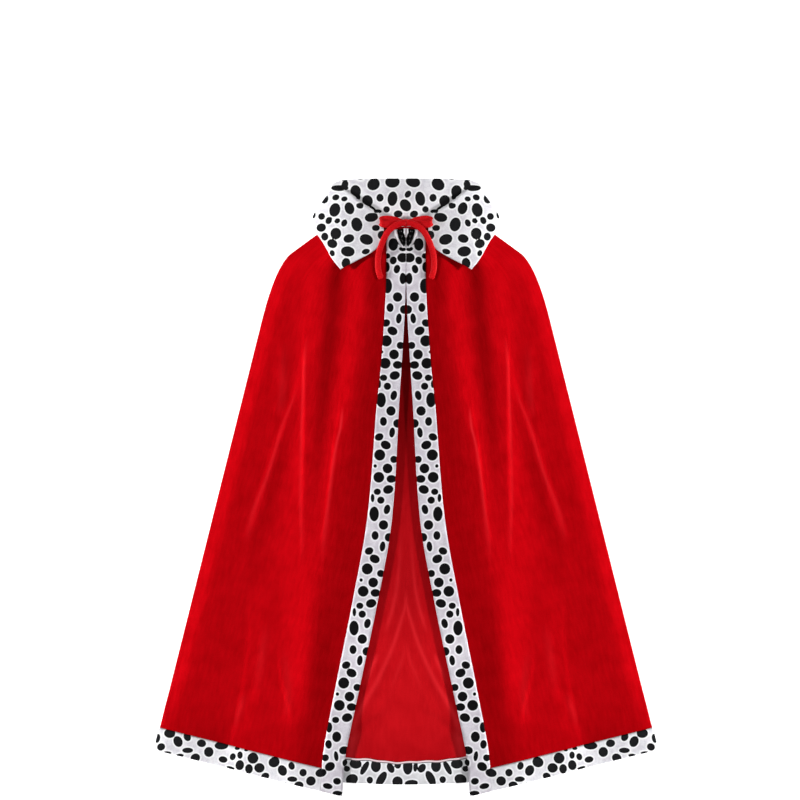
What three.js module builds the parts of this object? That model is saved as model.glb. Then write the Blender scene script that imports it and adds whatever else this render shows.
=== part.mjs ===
// A child's king costume cape, laid out flat on its back with the fronts on top.
// Red velvet back and fronts, a spotted plush border round the fronts and hem,
// a spotted turn-down collar, and a red tie knotted in a bow at the neck.
// Millimetres, +Z up, +Y towards the collar. The origin is on the resting plane,
// in the middle of the outline. The wearer's left is +X; the two sides mirror.

import * as THREE from 'three';

// Driving dimensions, all in mm
const overallLength = 894;      // lowest front corner to the top of the collar
const halfHem = 364.5;          // centre line to the side seam at the hem
const cloth = 1.5;              // velvet wall
const plush = 1.5;              // border wall
const collarWall = 3;           // two layers of plush sewn together
const ribbon = 1.6;             // tie wall
const seamGap = 0.3;            // between pieces that touch
const frontHemBorder = 31;
const backHemBorder = 34;
const borderTurn = seamGap + plush;   // how far a folded border stands past the cloth's edge

const lowestY = -446;           // the front corners
const frontNeck = { x: 0.5, y: 377 };
const shoulderNeck = { x: 88, y: 398 };
const shoulderPoint = { x: 168, y: 340 };
const shoulderTurn = { x: 190, y: 320 };
const sideTop = { x: 208.8, y: 244.6 };
const sideHem = { x: halfHem, y: -377 };
const backNeckY = 380;
const backHemY = -428.2;

// Grid of the cloth pieces
const borderColumns = 3;
const frontColumns = 18;
const frontRows = 20;
const backColumns = 10;
const backRows = 10;
const borderRows = 3;
const neckRows = [0, 20, 40, 62];   // closer rows near the neck, by their distance from it

// Levels of the cloth above the resting plane
const backOverBorder = plush + seamGap;
const backOverCollar = collarWall + 3 * seamGap;
const frontLevel = 4.2;         // underside of a front between its folds
const frontOverHem = 7.4;
const frontOverCollar = 7.8;
const rimLevel = 1.9;           // underside of a front along the side seam
const rimOverHem = 7.4;
const rimOverCollar = 5.9;
const lowerHemFade = 0.55;      // share of a fold's height that is left at the hem
const neckDip = 10;             // the front neckline's dip below a straight line

// The border's folded edge down a front, seen from above
const frontEdgeRows = [
  { y: frontNeck.y, x: frontNeck.x },
  { y: 273, x: 1.5 },
  { y: 127, x: 10 },
  { y: -47, x: 21 },
  { y: -172, x: 43 },
  { y: -305, x: 71 },
  { y: -391, x: 88.5 },
  { y: lowestY, x: 93 },
];

// Width of that border from its folded edge: it is drawn up at the neck
const frontBorderRows = [
  { y: frontNeck.y, width: 28.6 },
  { y: 215, width: 29.6 },
  { y: 155, width: 30.4 },
  { y: 100, width: 33 },
  { y: -60, width: 35.4 },
  { y: -250, width: 34.4 },
  { y: lowestY, width: 31 },
];

// Long folds of a front. A row gives the crest's place, its height and how far
// it runs out on its outer and inner side.
const frontFolds = {
  middle: [
    { y: 385, x: 72, height: 0.8, outer: 14, inner: 10 },
    { y: 350, x: 94, height: 3, outer: 18, inner: 12 },
    { y: 318, x: 112, height: 7, outer: 22, inner: 15 },
    { y: 272, x: 124, height: 10, outer: 26, inner: 17 },
    { y: 127, x: 136, height: 10, outer: 28, inner: 19 },
    { y: -18, x: 138, height: 8.5, outer: 30, inner: 22 },
    { y: -120, x: 132, height: 9, outer: 38, inner: 26 },
    { y: -279, x: 134, height: 8, outer: 42, inner: 25 },
    { y: -440, x: 128, height: 6, outer: 45, inner: 25 },
  ],
  inner: [
    { y: 385, x: 40, height: 0.6, outer: 10, inner: 8 },
    { y: 350, x: 48, height: 3, outer: 14, inner: 9 },
    { y: 318, x: 51, height: 8, outer: 20, inner: 12 },
    { y: 272, x: 52, height: 11, outer: 22, inner: 14 },
    { y: 200, x: 60, height: 11, outer: 22, inner: 15 },
    { y: 127, x: 74, height: 10, outer: 22, inner: 18 },
    { y: 55, x: 85, height: 9, outer: 22, inner: 20 },
    { y: -18, x: 98, height: 7, outer: 22, inner: 22 },
    { y: -110, x: 114, height: 3, outer: 20, inner: 22 },
    { y: -180, x: 120, height: 0, outer: 20, inner: 20 },
  ],
  outer: [
    { y: 250, x: 166, height: 0, outer: 12, inner: 14 },
    { y: 190, x: 174, height: 2.5, outer: 15, inner: 18 },
    { y: 127, x: 184, height: 4, outer: 16, inner: 18 },
    { y: 40, x: 208, height: 4.5, outer: 15, inner: 20 },
    { y: -47, x: 229, height: 3.5, outer: 16, inner: 24 },
    { y: -140, x: 240, height: 0, outer: 20, inner: 26 },
  ],
  lowOuter: [
    { y: -110, x: 182, height: 0, outer: 20, inner: 16 },
    { y: -192, x: 190, height: 3, outer: 24, inner: 18 },
    { y: -279, x: 202, height: 5, outer: 26, inner: 18 },
    { y: -440, x: 240, height: 6, outer: 30, inner: 20 },
  ],
};

// The soft roll that runs down beside the side seam
const sideRoll = { height: 7, crest: 20, fall: 21 };

// The back's inside shows between the fronts, with two slack folds that spread downwards
const backFolds = [
  { y: -100, x: 3, height: 0, outer: 10, inner: 10 },
  { y: -175, x: 10, height: 2.4, outer: 12, inner: 10 },
  { y: -245, x: 33, height: 2.6, outer: 13, inner: 12 },
  { y: -310, x: 55, height: 0, outer: 12, inner: 12 },
];

// Sections across the collar, from the centre back round to its front end: where it is
// sewn to the neck, the middle of the roll, the middle of the fall and its free edge.
const collarSections = [
  { share: 0, neck: [0, 381.6, 5], roll: [0, 442.4, 8.4], fall: [0, 405, 2.4], edge: [0, 364, 1.7], radius: 4.7 },
  { share: 0.2, neck: [37, 384.6, 5], roll: [46, 442.2, 8.4], fall: [52, 405, 2.4], edge: [54, 366, 1.7], radius: 4.7 },
  { share: 0.4, neck: [73, 394.6, 5], roll: [90, 440.2, 9], fall: [103, 404, 2.6], edge: [108, 376.5, 1.7], radius: 4.7 },
  { share: 0.47, neck: [87.5, 401.2, 5.6], roll: [103, 437, 12], fall: [127, 403, 6], edge: [126, 381, 2.6], radius: 4.8 },
  { share: 0.5, neck: [92.2, 403.4, 7.6], roll: [106, 434, 17], fall: [134, 394, 13], edge: [132, 375.5, 7], radius: 5 },
  { share: 0.53, neck: [88.5, 402, 9.4], roll: [101, 431.5, 22], fall: [130, 390, 20.5], edge: [129.3, 369.5, 12], radius: 5 },
  { share: 0.6, neck: [72, 392.4, 10.2], roll: [88, 427.5, 25], fall: [112, 382, 24], edge: [121, 357.5, 14], radius: 5 },
  { share: 0.8, neck: [43, 382.4, 10.4], roll: [61, 407, 23], fall: [80, 364, 23], edge: [107, 332.5, 16.5], radius: 4.6 },
  { share: 1, neck: [16, 380, 12], roll: [31, 389.5, 15.6], fall: [36.5, 354, 17.5], edge: [94.7, 317, 17.5], radius: 3 },
];
const collarAround = 32;
const collarAcross = 13;

// The tie: ribbon centre lines from the knot
const ribbonWidth = 9;
const ribbonColumns = 3;
const ribbonSteps = 20;
const knot = { x: 0, y: 384.5, z: 20.4, width: 12, depth: 11, height: 12.8 };
const tailRows = [
  { x: 0.6, y: 383.6, z: 27.4 },
  { x: 6, y: 383.2, z: 27.4 },
  { x: 13, y: 380.8, z: 27.2 },
  { x: 24.2, y: 372.8, z: 25.6 },
  { x: 31, y: 362.4, z: 23 },
  { x: 36.4, y: 350, z: 21.4 },
  { x: 39.8, y: 337.5, z: 15 },
  { x: 40.8, y: 326, z: 0 },
  { x: 39.6, y: 314.5, z: 0 },
  { x: 36, y: 303.6, z: 0 },
];
const tailClearance = 1.2;        // between a tail and the faces that it lies on
const loopRows = [
  { x: 6.6, y: 386.2, z: 17.4 },
  { x: 16, y: 388.2, z: 19.6 },
  { x: 27, y: 389.4, z: 21.4 },
  { x: 34, y: 388.6, z: 22 },
  { x: 36.6, y: 386, z: 23.6 },
  { x: 34, y: 382.6, z: 25 },
  { x: 27, y: 381.8, z: 24 },
  { x: 16, y: 383, z: 21.8 },
  { x: 8.6, y: 384.4, z: 20.2 },
];

// Plain helpers
const clamp = THREE.MathUtils.clamp;
const lerp = THREE.MathUtils.lerp;
const smoothstep = THREE.MathUtils.smoothstep;
const vector = ([x, y, z]) => new THREE.Vector3(x, y, z);

// A table's column at a place along it, on a smooth curve through its rows.
function readTable(rows, place, placeKey, key) {
  const rising = rows[0][placeKey] < rows[rows.length - 1][placeKey] ? 1 : -1;
  const at = rows.map((row) => row[placeKey] * rising);
  const value = rows.map((row) => row[key]);
  const x = clamp(place * rising, at[0], at[at.length - 1]);
  let i = 0;
  while (i < at.length - 2 && x > at[i + 1]) i++;
  const slope = (k) => {
    const low = Math.max(k - 1, 0);
    const high = Math.min(k + 1, at.length - 1);
    return (value[high] - value[low]) / (at[high] - at[low]);
  };
  const width = at[i + 1] - at[i];
  const t = (x - at[i]) / width;
  const t2 = t * t;
  const t3 = t2 * t;
  return (2 * t3 - 3 * t2 + 1) * value[i] + (t3 - 2 * t2 + t) * width * slope(i)
    + (3 * t2 - 2 * t3) * value[i + 1] + (t3 - t2) * width * slope(i + 1);
}

// The side outline: shoulder, the turn over its point, and the straight side seam.
const sidePath = new THREE.Path()
  .moveTo(shoulderNeck.x, shoulderNeck.y)
  .lineTo(shoulderPoint.x, shoulderPoint.y)
  .quadraticCurveTo(shoulderTurn.x, shoulderTurn.y, sideTop.x, sideTop.y)
  .lineTo(sideHem.x, sideHem.y);
const sideLength = sidePath.getLength();
const sideSamples = sidePath.getSpacedPoints(120);

function distanceToSide(x, y) {
  const here = new THREE.Vector2(x, y);
  return Math.min(...sideSamples.map((point) => point.distanceTo(here)));
}

const frontEdgeX = (y) => readTable(frontEdgeRows, y, 'y', 'x');
const backHemAt = (x) => backHemY + (sideHem.y - backHemY) * (x / halfHem) ** 2;

// Height of one fold's rounded crest over a place.
function foldHeight(rows, x, y) {
  const first = Math.max(rows[0].y, rows[rows.length - 1].y);
  const last = Math.min(rows[0].y, rows[rows.length - 1].y);
  if (y > first || y < last) return 0;
  const away = x - readTable(rows, y, 'y', 'x');
  const width = readTable(rows, y, 'y', away > 0 ? 'outer' : 'inner');
  return Math.max(readTable(rows, y, 'y', 'height'), 0) * Math.exp(-((away / width) ** 2));
}

// Share by which a layer is lifted by the hem border or the collar's fall under it.
const overHem = (x, y) => 1 - smoothstep(y - backHemAt(x), backHemBorder + 26, backHemBorder + 66);
const overCollar = (y) => smoothstep(y, 318, 360);

// Underside of the back, whose outer face rests on the plane.
function backUnder(x, y) {
  const hem = 1 - smoothstep(y - backHemAt(x), backHemBorder + 2, backHemBorder + 15);
  return backOverBorder * hem + backOverCollar * overCollar(y) + foldHeight(backFolds, Math.abs(x), y);
}

// Underside of a front, on the +X side.
function frontUnder(x, y) {
  const fromSide = distanceToSide(x, y);
  const hem = overHem(x, y);
  const neck = overCollar(y);
  const flat = frontLevel + (frontOverHem - frontLevel) * hem + (frontOverCollar - frontLevel) * neck;
  const rim = rimLevel + (rimOverHem - rimLevel) * hem + (rimOverCollar - rimLevel) * neck;
  const roll = fromSide < sideRoll.crest
    ? Math.sin((Math.PI / 2) * (fromSide / sideRoll.crest))
    : Math.exp(-(((fromSide - sideRoll.crest) / sideRoll.fall) ** 2));
  const folds = Object.values(frontFolds).reduce((sum, rows) => sum + foldHeight(rows, x, y), 0);
  const inFromSide = smoothstep(fromSide, 0, 30);
  const fade = 1 - (1 - lowerHemFade) * hem;
  return lerp(rim, flat, smoothstep(fromSide, 0, 24))
    + fade * (1 - 0.75 * neck) * sideRoll.height * roll + fade * folds * inFromSide;
}

// Distances from the neck of a panel's rows; the last few lie under the hem border.
function rowPlaces(length, rows, band) {
  const open = length - band;
  const places = [...neckRows];
  const first = neckRows[neckRows.length - 1];
  const left = rows + 1 - neckRows.length;
  for (let j = 1; j <= left; j++) places.push(lerp(first, open, j / left));
  for (let k = 1; k <= borderRows; k++) places.push(open + (band * k) / borderRows);
  return places;
}

// Plan of a front: columns from the front edge to the side seam, rows from neck to hem.
const frontEdgeLength = frontNeck.y - (lowestY + borderTurn);
const frontEdgePlaces = rowPlaces(frontEdgeLength, frontRows, frontHemBorder);
const frontSidePlaces = rowPlaces(sideLength, frontRows, frontHemBorder);

// A point of a front's plan, a distance in from its front edge along row j.
function frontPlan(j, across) {
  const y = frontNeck.y - frontEdgePlaces[j];
  const from = new THREE.Vector2(frontEdgeX(y) + borderTurn, y);
  const to = sidePath.getPointAt(Math.min(frontSidePlaces[j] / sideLength, 1));
  const share = across / from.distanceTo(to);
  const dip = neckDip * 4 * share * (1 - share) * (1 - smoothstep(frontEdgePlaces[j], 0, 60));
  return from.lerp(to, share).sub(new THREE.Vector2(0, Math.max(dip, 0)));
}

function frontRowWidth(j) {
  return frontPlan(j, 0).distanceTo(sidePath.getPointAt(Math.min(frontSidePlaces[j] / sideLength, 1)));
}

function acrossFront(i, j) {
  const border = readTable(frontBorderRows, frontNeck.y - frontEdgePlaces[j], 'y', 'width') - borderTurn;
  if (i <= borderColumns) return (border * i) / borderColumns;
  return border + ((frontRowWidth(j) - border) * (i - borderColumns)) / frontColumns;
}

const frontPoint = (i, j, rise) => {
  const at = frontPlan(j, acrossFront(i, j));
  return new THREE.Vector3(at.x, at.y, frontUnder(at.x, at.y) + rise);
};

// Plan of the back: columns out from the centre line, the same on both sides.
const backPlaces = rowPlaces(backNeckY - backHemY, backRows, backHemBorder);
const backSidePlaces = rowPlaces(sideLength, backRows, backHemBorder);

const backPoint = (i, j, rise) => {
  const share = (i - backColumns) / backColumns;
  const side = sidePath.getPointAt(Math.min(backSidePlaces[j] / sideLength, 1));
  const x = share * side.x;
  const y = lerp(backNeckY - backPlaces[j], side.y, share * share);
  return new THREE.Vector3(x, y, backUnder(x, y) + rise);
};

const grid = (columns, rows, point) => Array.from({ length: columns + 1 },
  (_, i) => Array.from({ length: rows + 1 }, (__, j) => point(i, j)));

// A closed wall between two grids of points that face each other.
function wall(over, under) {
  const columns = over.length;
  const rows = over[0].length;
  const points = [...over.flat(), ...under.flat()];
  const half = columns * rows;
  const at = (i, j) => i * rows + j;
  const faces = [];
  const quad = (a, b, c, d) => {
    const plan = (p, q) => (points[p].x - points[q].x) ** 2 + (points[p].y - points[q].y) ** 2;
    if (plan(a, c) <= plan(b, d)) faces.push(a, b, c, a, c, d);
    else faces.push(a, b, d, b, c, d);
  };
  for (let i = 0; i < columns - 1; i++) {
    for (let j = 0; j < rows - 1; j++) {
      quad(at(i, j), at(i + 1, j), at(i + 1, j + 1), at(i, j + 1));
      quad(half + at(i, j), half + at(i, j + 1), half + at(i + 1, j + 1), half + at(i + 1, j));
    }
  }
  for (let i = 0; i < columns - 1; i++) {
    quad(at(i + 1, 0), at(i, 0), half + at(i, 0), half + at(i + 1, 0));
    quad(at(i, rows - 1), at(i + 1, rows - 1), half + at(i + 1, rows - 1), half + at(i, rows - 1));
  }
  for (let j = 0; j < rows - 1; j++) {
    quad(at(0, j), at(0, j + 1), half + at(0, j + 1), half + at(0, j));
    quad(at(columns - 1, j + 1), at(columns - 1, j), half + at(columns - 1, j), half + at(columns - 1, j + 1));
  }
  return facingOut(points, faces);
}

// The geometry of closed faces, turned so that they point outwards.
function facingOut(points, faces) {
  let volume = 0;
  for (let k = 0; k < faces.length; k += 3) {
    const [a, b, c] = [points[faces[k]], points[faces[k + 1]], points[faces[k + 2]]];
    volume += a.dot(new THREE.Vector3().crossVectors(b, c));
  }
  const turned = volume < 0 ? faces.slice().reverse() : faces;
  const geometry = new THREE.BufferGeometry().setFromPoints(points);
  geometry.setIndex(turned);
  geometry.computeVertexNormals();
  return geometry;
}

// The same piece for the other side.
function mirrored(geometry) {
  const made = geometry.clone().scale(-1, 1, 1);
  made.setIndex(Array.from(made.index.array).reverse());
  made.computeVertexNormals();
  return made;
}

// A border folded round an edge of the cloth. A step gives how many columns in from the
// edge it lies, how far past the edge, and its rise from the cloth's underside.
const leafSteps = Array.from({ length: borderRows + 1 }, (_, k) => borderRows - k);
const foldedBorder = {
  outside: [
    ...leafSteps.map((column) => ({ column, past: 0, rise: cloth + seamGap + plush })),
    { column: 0, past: borderTurn * 0.7, rise: cloth + seamGap + plush * 0.75 },
    { column: 0, past: borderTurn, rise: cloth / 2 },
    { column: 0, past: borderTurn * 0.7, rise: -seamGap - plush * 0.75 },
    ...leafSteps.slice().reverse().map((column) => ({ column, past: 0, rise: -seamGap - plush })),
  ],
  inside: [
    ...leafSteps.map((column) => ({ column, past: 0, rise: cloth + seamGap })),
    { column: 0, past: seamGap * 0.8, rise: cloth + seamGap },
    { column: 0, past: seamGap, rise: cloth / 2 },
    { column: 0, past: seamGap * 0.8, rise: -seamGap },
    ...leafSteps.slice().reverse().map((column) => ({ column, past: 0, rise: -seamGap })),
  ],
};

const borderWall = (count, place) => wall(
  grid(foldedBorder.outside.length - 1, count, (i, j) => place(foldedBorder.outside[i], j)),
  grid(foldedBorder.inside.length - 1, count, (i, j) => place(foldedBorder.inside[i], j)),
);

const lastRow = frontRows + borderRows;

// Down the front: columns are those of the front itself, and it ends level with the hem border.
function frontBorderPoint({ column, past, rise }, j) {
  const point = frontPoint(column, j, rise);
  if (j === lastRow) point.y -= borderTurn;
  return point.setX(point.x - past);
}

// Along a front's hem, from the front border to the side seam.
function frontHemPoint({ column, past, rise }, k) {
  const point = frontPoint(borderColumns + k, lastRow - column, rise);
  if (k === 0) point.x += seamGap;
  point.x += past * Math.sin(Math.atan2(lowestY - sideHem.y, halfHem));
  return point.setY(point.y - past);
}

// Along the back's hem, where its inside leaf shows between the fronts.
function backHemPoint({ column, past, rise }, k) {
  const point = backPoint(k, backRows + borderRows - column, rise);
  return point.setY(point.y - past);
}

// A smooth curve through the points of a collar section: up the stand, over the roll
// and down the fall.
function collarLine(section) {
  const neck = vector(section.neck);
  const roll = vector(section.roll);
  const fall = vector(section.fall);
  const up = roll.clone().sub(neck).normalize();
  const out = fall.clone().sub(roll);
  out.addScaledVector(up, -out.dot(up)).normalize();
  const inner = roll.clone().addScaledVector(out, -section.radius);
  const crown = roll.clone().addScaledVector(up, section.radius);
  const outer = roll.clone().addScaledVector(out, section.radius);
  const middle = neck.clone().lerp(inner, 0.5);
  return new THREE.CatmullRomCurve3([neck, middle, inner, crown, outer, fall, vector(section.edge)]);
}

// A collar section at any share of the way round, between those of the table.
function collarSection(share) {
  const flat = collarSections.map((row) => ({
    share: row.share, radius: row.radius,
    ...Object.fromEntries(['neck', 'roll', 'fall', 'edge'].flatMap(
      (name) => row[name].map((value, axis) => [name + axis, value]))),
  }));
  const read = (key) => readTable(flat, share, 'share', key);
  const point = (name) => [read(name + 0), read(name + 1), read(name + 2)];
  return { neck: point('neck'), roll: point('roll'), fall: point('fall'), edge: point('edge'), radius: read('radius') };
}

// The collar's middle surface, on both sides of the centre back.
function collarMiddle(i, j) {
  const side = (i - collarAround) / collarAround;
  const line = collarLine(collarSection(Math.abs(side)));
  const point = line.getPoint(j / collarAcross);
  return point.setX(point.x * (side < 0 ? -1 : 1));
}

function collarGeometry() {
  const middle = grid(2 * collarAround, collarAcross, collarMiddle);
  const moved = (distance) => middle.map((line, i) => line.map((point, j) => {
    const alongI = middle[Math.min(i + 1, middle.length - 1)][j].clone().sub(middle[Math.max(i - 1, 0)][j]);
    const alongJ = line[Math.min(j + 1, line.length - 1)].clone().sub(line[Math.max(j - 1, 0)]);
    return point.clone().addScaledVector(alongI.cross(alongJ).normalize(), distance);
  }));
  return wall(moved(collarWall / 2), moved(-collarWall / 2));
}

// A flat ribbon along a line. It lies no lower than the meshes under it.
function ribbonGeometry(rows, crossAt, under = []) {
  const line = new THREE.CatmullRomCurve3(rows.map(({ x, y, z }) => new THREE.Vector3(x, y, z)));
  const point = (i, j, rise) => {
    const here = line.getPointAt(j / ribbonSteps);
    const { across, normal } = crossAt(line.getTangentAt(j / ribbonSteps));
    here.addScaledVector(across, ((i / ribbonColumns) - 0.5) * ribbonWidth);
    here.z = Math.max(here.z, topOf(under, here) + tailClearance);
    return here.addScaledVector(normal, rise);
  };
  return wall(
    grid(ribbonColumns, ribbonSteps, (i, j) => point(i, j, ribbon)),
    grid(ribbonColumns, ribbonSteps, (i, j) => point(i, j, 0)),
  );
}

// Height of the meshes' upper faces over a place.
function topOf(meshes, { x, y }) {
  const down = new THREE.Raycaster(new THREE.Vector3(x, y, overallLength), new THREE.Vector3(0, 0, -1));
  const [hit] = down.intersectObjects(meshes);
  return hit ? hit.point.z : 0;
}

const levelCross = (tangent) => ({
  across: new THREE.Vector3(-tangent.y, tangent.x, 0).normalize(),
  normal: new THREE.Vector3(0, 0, 1),
});

const loopCross = (tangent) => {
  const across = new THREE.Vector3(0, 1, 0);
  return { across, normal: across.clone().cross(tangent).normalize() };
};

function knotGeometry() {
  const made = new THREE.SphereGeometry(0.5, 14, 10);
  made.scale(knot.width, knot.depth, knot.height);
  return made.translate(knot.x, knot.y, knot.z);
}

const material = (color, roughness) => new THREE.MeshStandardMaterial({ color, roughness, metalness: 0 });
const velvet = material(0xc00d14, 0.75);
const spotted = material(0xe9e7ea, 0.9);
const ribbonRed = material(0xc41418, 0.6);

const cape = new THREE.Group();

function add(name, geometry, finish) {
  const mesh = new THREE.Mesh(geometry, finish);
  mesh.name = name;
  cape.add(mesh);
  return mesh;
}

function addBothSides(name, geometry, finish) {
  add(name + '_right', mirrored(geometry), finish);
  return add(name + '_left', geometry, finish);
}

const backAll = backRows + borderRows;
add('back', wall(
  grid(2 * backColumns, backAll, (i, j) => backPoint(i, j, cloth)),
  grid(2 * backColumns, backAll, (i, j) => backPoint(i, j, 0)),
), velvet);

const frontAll = borderColumns + frontColumns;
const front = addBothSides('front', wall(
  grid(frontAll, lastRow, (i, j) => frontPoint(i, j, cloth)),
  grid(frontAll, lastRow, (i, j) => frontPoint(i, j, 0)),
), velvet);

const frontBorderMesh = addBothSides('front_border', borderWall(lastRow, frontBorderPoint), spotted);
addBothSides('front_hem_border', borderWall(frontColumns, frontHemPoint), spotted);
add('back_hem_border', borderWall(2 * backColumns, backHemPoint), spotted);
const collar = add('collar', collarGeometry(), spotted);
const loop = addBothSides('tie_loop', ribbonGeometry(loopRows, loopCross), ribbonRed);
addBothSides('tie_tail', ribbonGeometry(tailRows, levelCross, [front, frontBorderMesh, collar, loop]), ribbonRed);
add('tie_knot', knotGeometry(), ribbonRed);

export default cape;
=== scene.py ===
# Dresses the laid-out costume cape: red velvet, spotted plush borders and collar, and a red tie.
# The cape lies on its back, fronts on top. Lengths here are in mm until a mesh is made.
import math
import bpy
import bmesh
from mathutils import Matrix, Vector
from mathutils.kdtree import KDTree


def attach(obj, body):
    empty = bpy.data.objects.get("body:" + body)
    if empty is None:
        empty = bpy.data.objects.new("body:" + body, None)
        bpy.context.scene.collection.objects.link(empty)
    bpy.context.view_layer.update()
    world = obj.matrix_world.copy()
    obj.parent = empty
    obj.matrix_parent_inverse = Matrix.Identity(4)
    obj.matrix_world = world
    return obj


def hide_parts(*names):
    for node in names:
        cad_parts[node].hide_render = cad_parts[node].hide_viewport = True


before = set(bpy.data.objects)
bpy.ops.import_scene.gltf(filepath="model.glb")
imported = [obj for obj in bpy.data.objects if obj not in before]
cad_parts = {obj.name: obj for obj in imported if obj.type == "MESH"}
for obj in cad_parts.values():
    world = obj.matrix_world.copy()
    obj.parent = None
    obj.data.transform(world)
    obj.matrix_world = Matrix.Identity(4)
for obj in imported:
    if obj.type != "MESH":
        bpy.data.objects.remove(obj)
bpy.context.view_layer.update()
scene = bpy.context.scene
mm = 0.001


# small helpers

def mix(a, b, t):
    return a + (b - a) * t


def clamp(value, low, high):
    return max(low, min(high, value))


def easeStep(value, low, high):
    t = clamp((value - low) / (high - low), 0, 1)
    return t * t * (3 - 2 * t)


def readRows(rows, place, column):
    # smooth value of a column at a place given by column 0, which runs either way
    sign = 1 if rows[-1][0] > rows[0][0] else -1
    x = clamp(place * sign, rows[0][0] * sign, rows[-1][0] * sign)
    i = 0
    while i < len(rows) - 2 and x > rows[i + 1][0] * sign:
        i += 1

    def slope(k):
        a, b = rows[max(k - 1, 0)], rows[min(k + 1, len(rows) - 1)]
        return (b[column] - a[column]) / ((b[0] - a[0]) * sign)

    low, high = rows[i], rows[i + 1]
    width = (high[0] - low[0]) * sign
    t = (x - low[0] * sign) / width
    t2, t3 = t * t, t * t * t
    return ((2 * t3 - 3 * t2 + 1) * low[column] + (t3 - 2 * t2 + t) * width * slope(i)
            + (3 * t2 - 2 * t3) * high[column] + (t3 - t2) * width * slope(i + 1))


def curveThrough(points, t):
    # centripetal Catmull-Rom curve through points, t from 0 to 1
    last = len(points) - 1
    i = min(int(t * last), last - 1)
    w = t * last - i
    p1, p2 = points[i], points[i + 1]
    p0 = points[i - 1] if i > 0 else p1 * 2 - p2
    p3 = points[i + 2] if i + 2 <= last else p2 * 2 - p1
    d0 = max((p1 - p0).length, 1e-4) ** 0.5
    d1 = max((p2 - p1).length, 1e-4) ** 0.5
    d2 = max((p3 - p2).length, 1e-4) ** 0.5
    m1 = ((p1 - p0) / d0 - (p2 - p0) / (d0 + d1) + (p2 - p1) / d1) * d1
    m2 = ((p2 - p1) / d1 - (p3 - p1) / (d1 + d2) + (p3 - p2) / d2) * d1
    w2, w3 = w * w, w * w * w
    return (p1 * (2 * w3 - 3 * w2 + 1) + m1 * (w3 - 2 * w2 + w)
            + p2 * (3 * w2 - 2 * w3) + m2 * (w3 - w2))


def evenRoute(points, steps):
    # points at equal steps along a smooth curve
    fine = [curveThrough(points, k / 400) for k in range(401)]
    run = [0]
    for a, b in zip(fine, fine[1:]):
        run.append(run[-1] + (b - a).length)
    route, k = [], 0
    for n in range(steps + 1):
        want = run[-1] * n / steps
        while k < 399 and run[k + 1] < want:
            k += 1
        part = clamp((want - run[k]) / max(run[k + 1] - run[k], 1e-9), 0, 1)
        route.append(fine[k].lerp(fine[k + 1], part))
    return route, run[-1]


# camera, looking straight down as the photo does

cameraValues = {"aimX": -8.7, "aimY": 128.3, "height": 3500, "frameWidth": 1160, "subjectHeight": 8}


def makeCamera(v):
    data = bpy.data.cameras.new("camera")
    data.sensor_width = 36
    data.lens = 36 * (v["height"] - v["subjectHeight"]) / v["frameWidth"]
    camera = bpy.data.objects.new("camera", data)
    camera.location = (v["aimX"] * mm, v["aimY"] * mm, v["height"] * mm)
    scene.collection.objects.link(camera)
    scene.camera = camera


makeCamera(cameraValues)
print("camera made")


# the cut of the cape, as in the solids but with a softer roll along the side seams

cape = {
    "frontNeckY": 377, "lowestY": -446, "halfHem": 364.5, "sideHemY": -377,
    "backNeckY": 380, "backHemY": -428.2, "borderTurn": 1.8, "frontHemBorder": 31, "backHemBorder": 34,
    "cloth": 1.5, "plush": 1.5, "gap": 0.3, "evenRows": 62,
    "frontLevel": 4.2, "frontOverHem": 7.4, "frontOverCollar": 7.8,
    "rimLevel": 1.9, "rimOverHem": 7.4, "rimOverCollar": 5.9, "backOverCollar": 3.9,
    "lowerHemFade": 0.55, "neckDip": 10, "rollHeight": 2.6, "rollCrest": 19, "rollFall": 44, "foldReach": 110,
}
plushStep = cape["plush"] + cape["gap"]  # what one layer of plush adds in height
# y, x of the front border's folded edge
frontEdge = [(377, 0.5), (273, 1.5), (127, 10), (-47, 21), (-172, 43), (-305, 71), (-391, 88.5), (-446, 93)]
# y, width of the front border
frontBorderWidth = [(377, 28.6), (215, 29.6), (155, 30.4), (100, 33), (-60, 35.4), (-250, 34.4), (-446, 31)]
# folds of a front: y, x of the crest, height, run on the outer side, run on the inner side
frontFolds = [
    [(385, 72, 1, 14, 10), (350, 94, 4.5, 18, 14), (318, 112, 7.5, 26, 18), (272, 119, 8, 28, 22),
     (186, 128, 8, 24, 22), (128, 133, 7.5, 22, 22), (70, 136, 7, 22, 22), (12, 140, 6, 22, 20),
     (-46, 144, 5.5, 26, 20), (-120, 146, 5, 32, 22), (-279, 150, 5, 34, 25), (-357, 166, 5, 36, 30),
     (-440, 180, 5, 45, 30)],
    [(385, 40, 0.8, 10, 8), (350, 48, 4, 14, 12), (318, 56, 7.5, 18, 20), (272, 57, 7.5, 20, 26),
     (230, 61, 8.5, 22, 32), (186, 68, 9, 22, 34), (127, 77, 10, 22, 36), (70, 89, 10, 22, 38),
     (12, 99, 9.5, 22, 38), (-46, 107, 9, 24, 38), (-104, 115, 8.5, 24, 36), (-162, 122, 7.5, 26, 34),
     (-220, 128, 6.5, 26, 32), (-290, 136, 5, 26, 32), (-357, 146, 4, 26, 32), (-440, 150, 3, 26, 30)],
    [(-110, 196, 0, 16, 22), (-192, 203, 1.8, 16, 24), (-279, 208, 3, 16, 28), (-357, 226, 5, 20, 34),
     (-440, 240, 6, 24, 36)],
]
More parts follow.
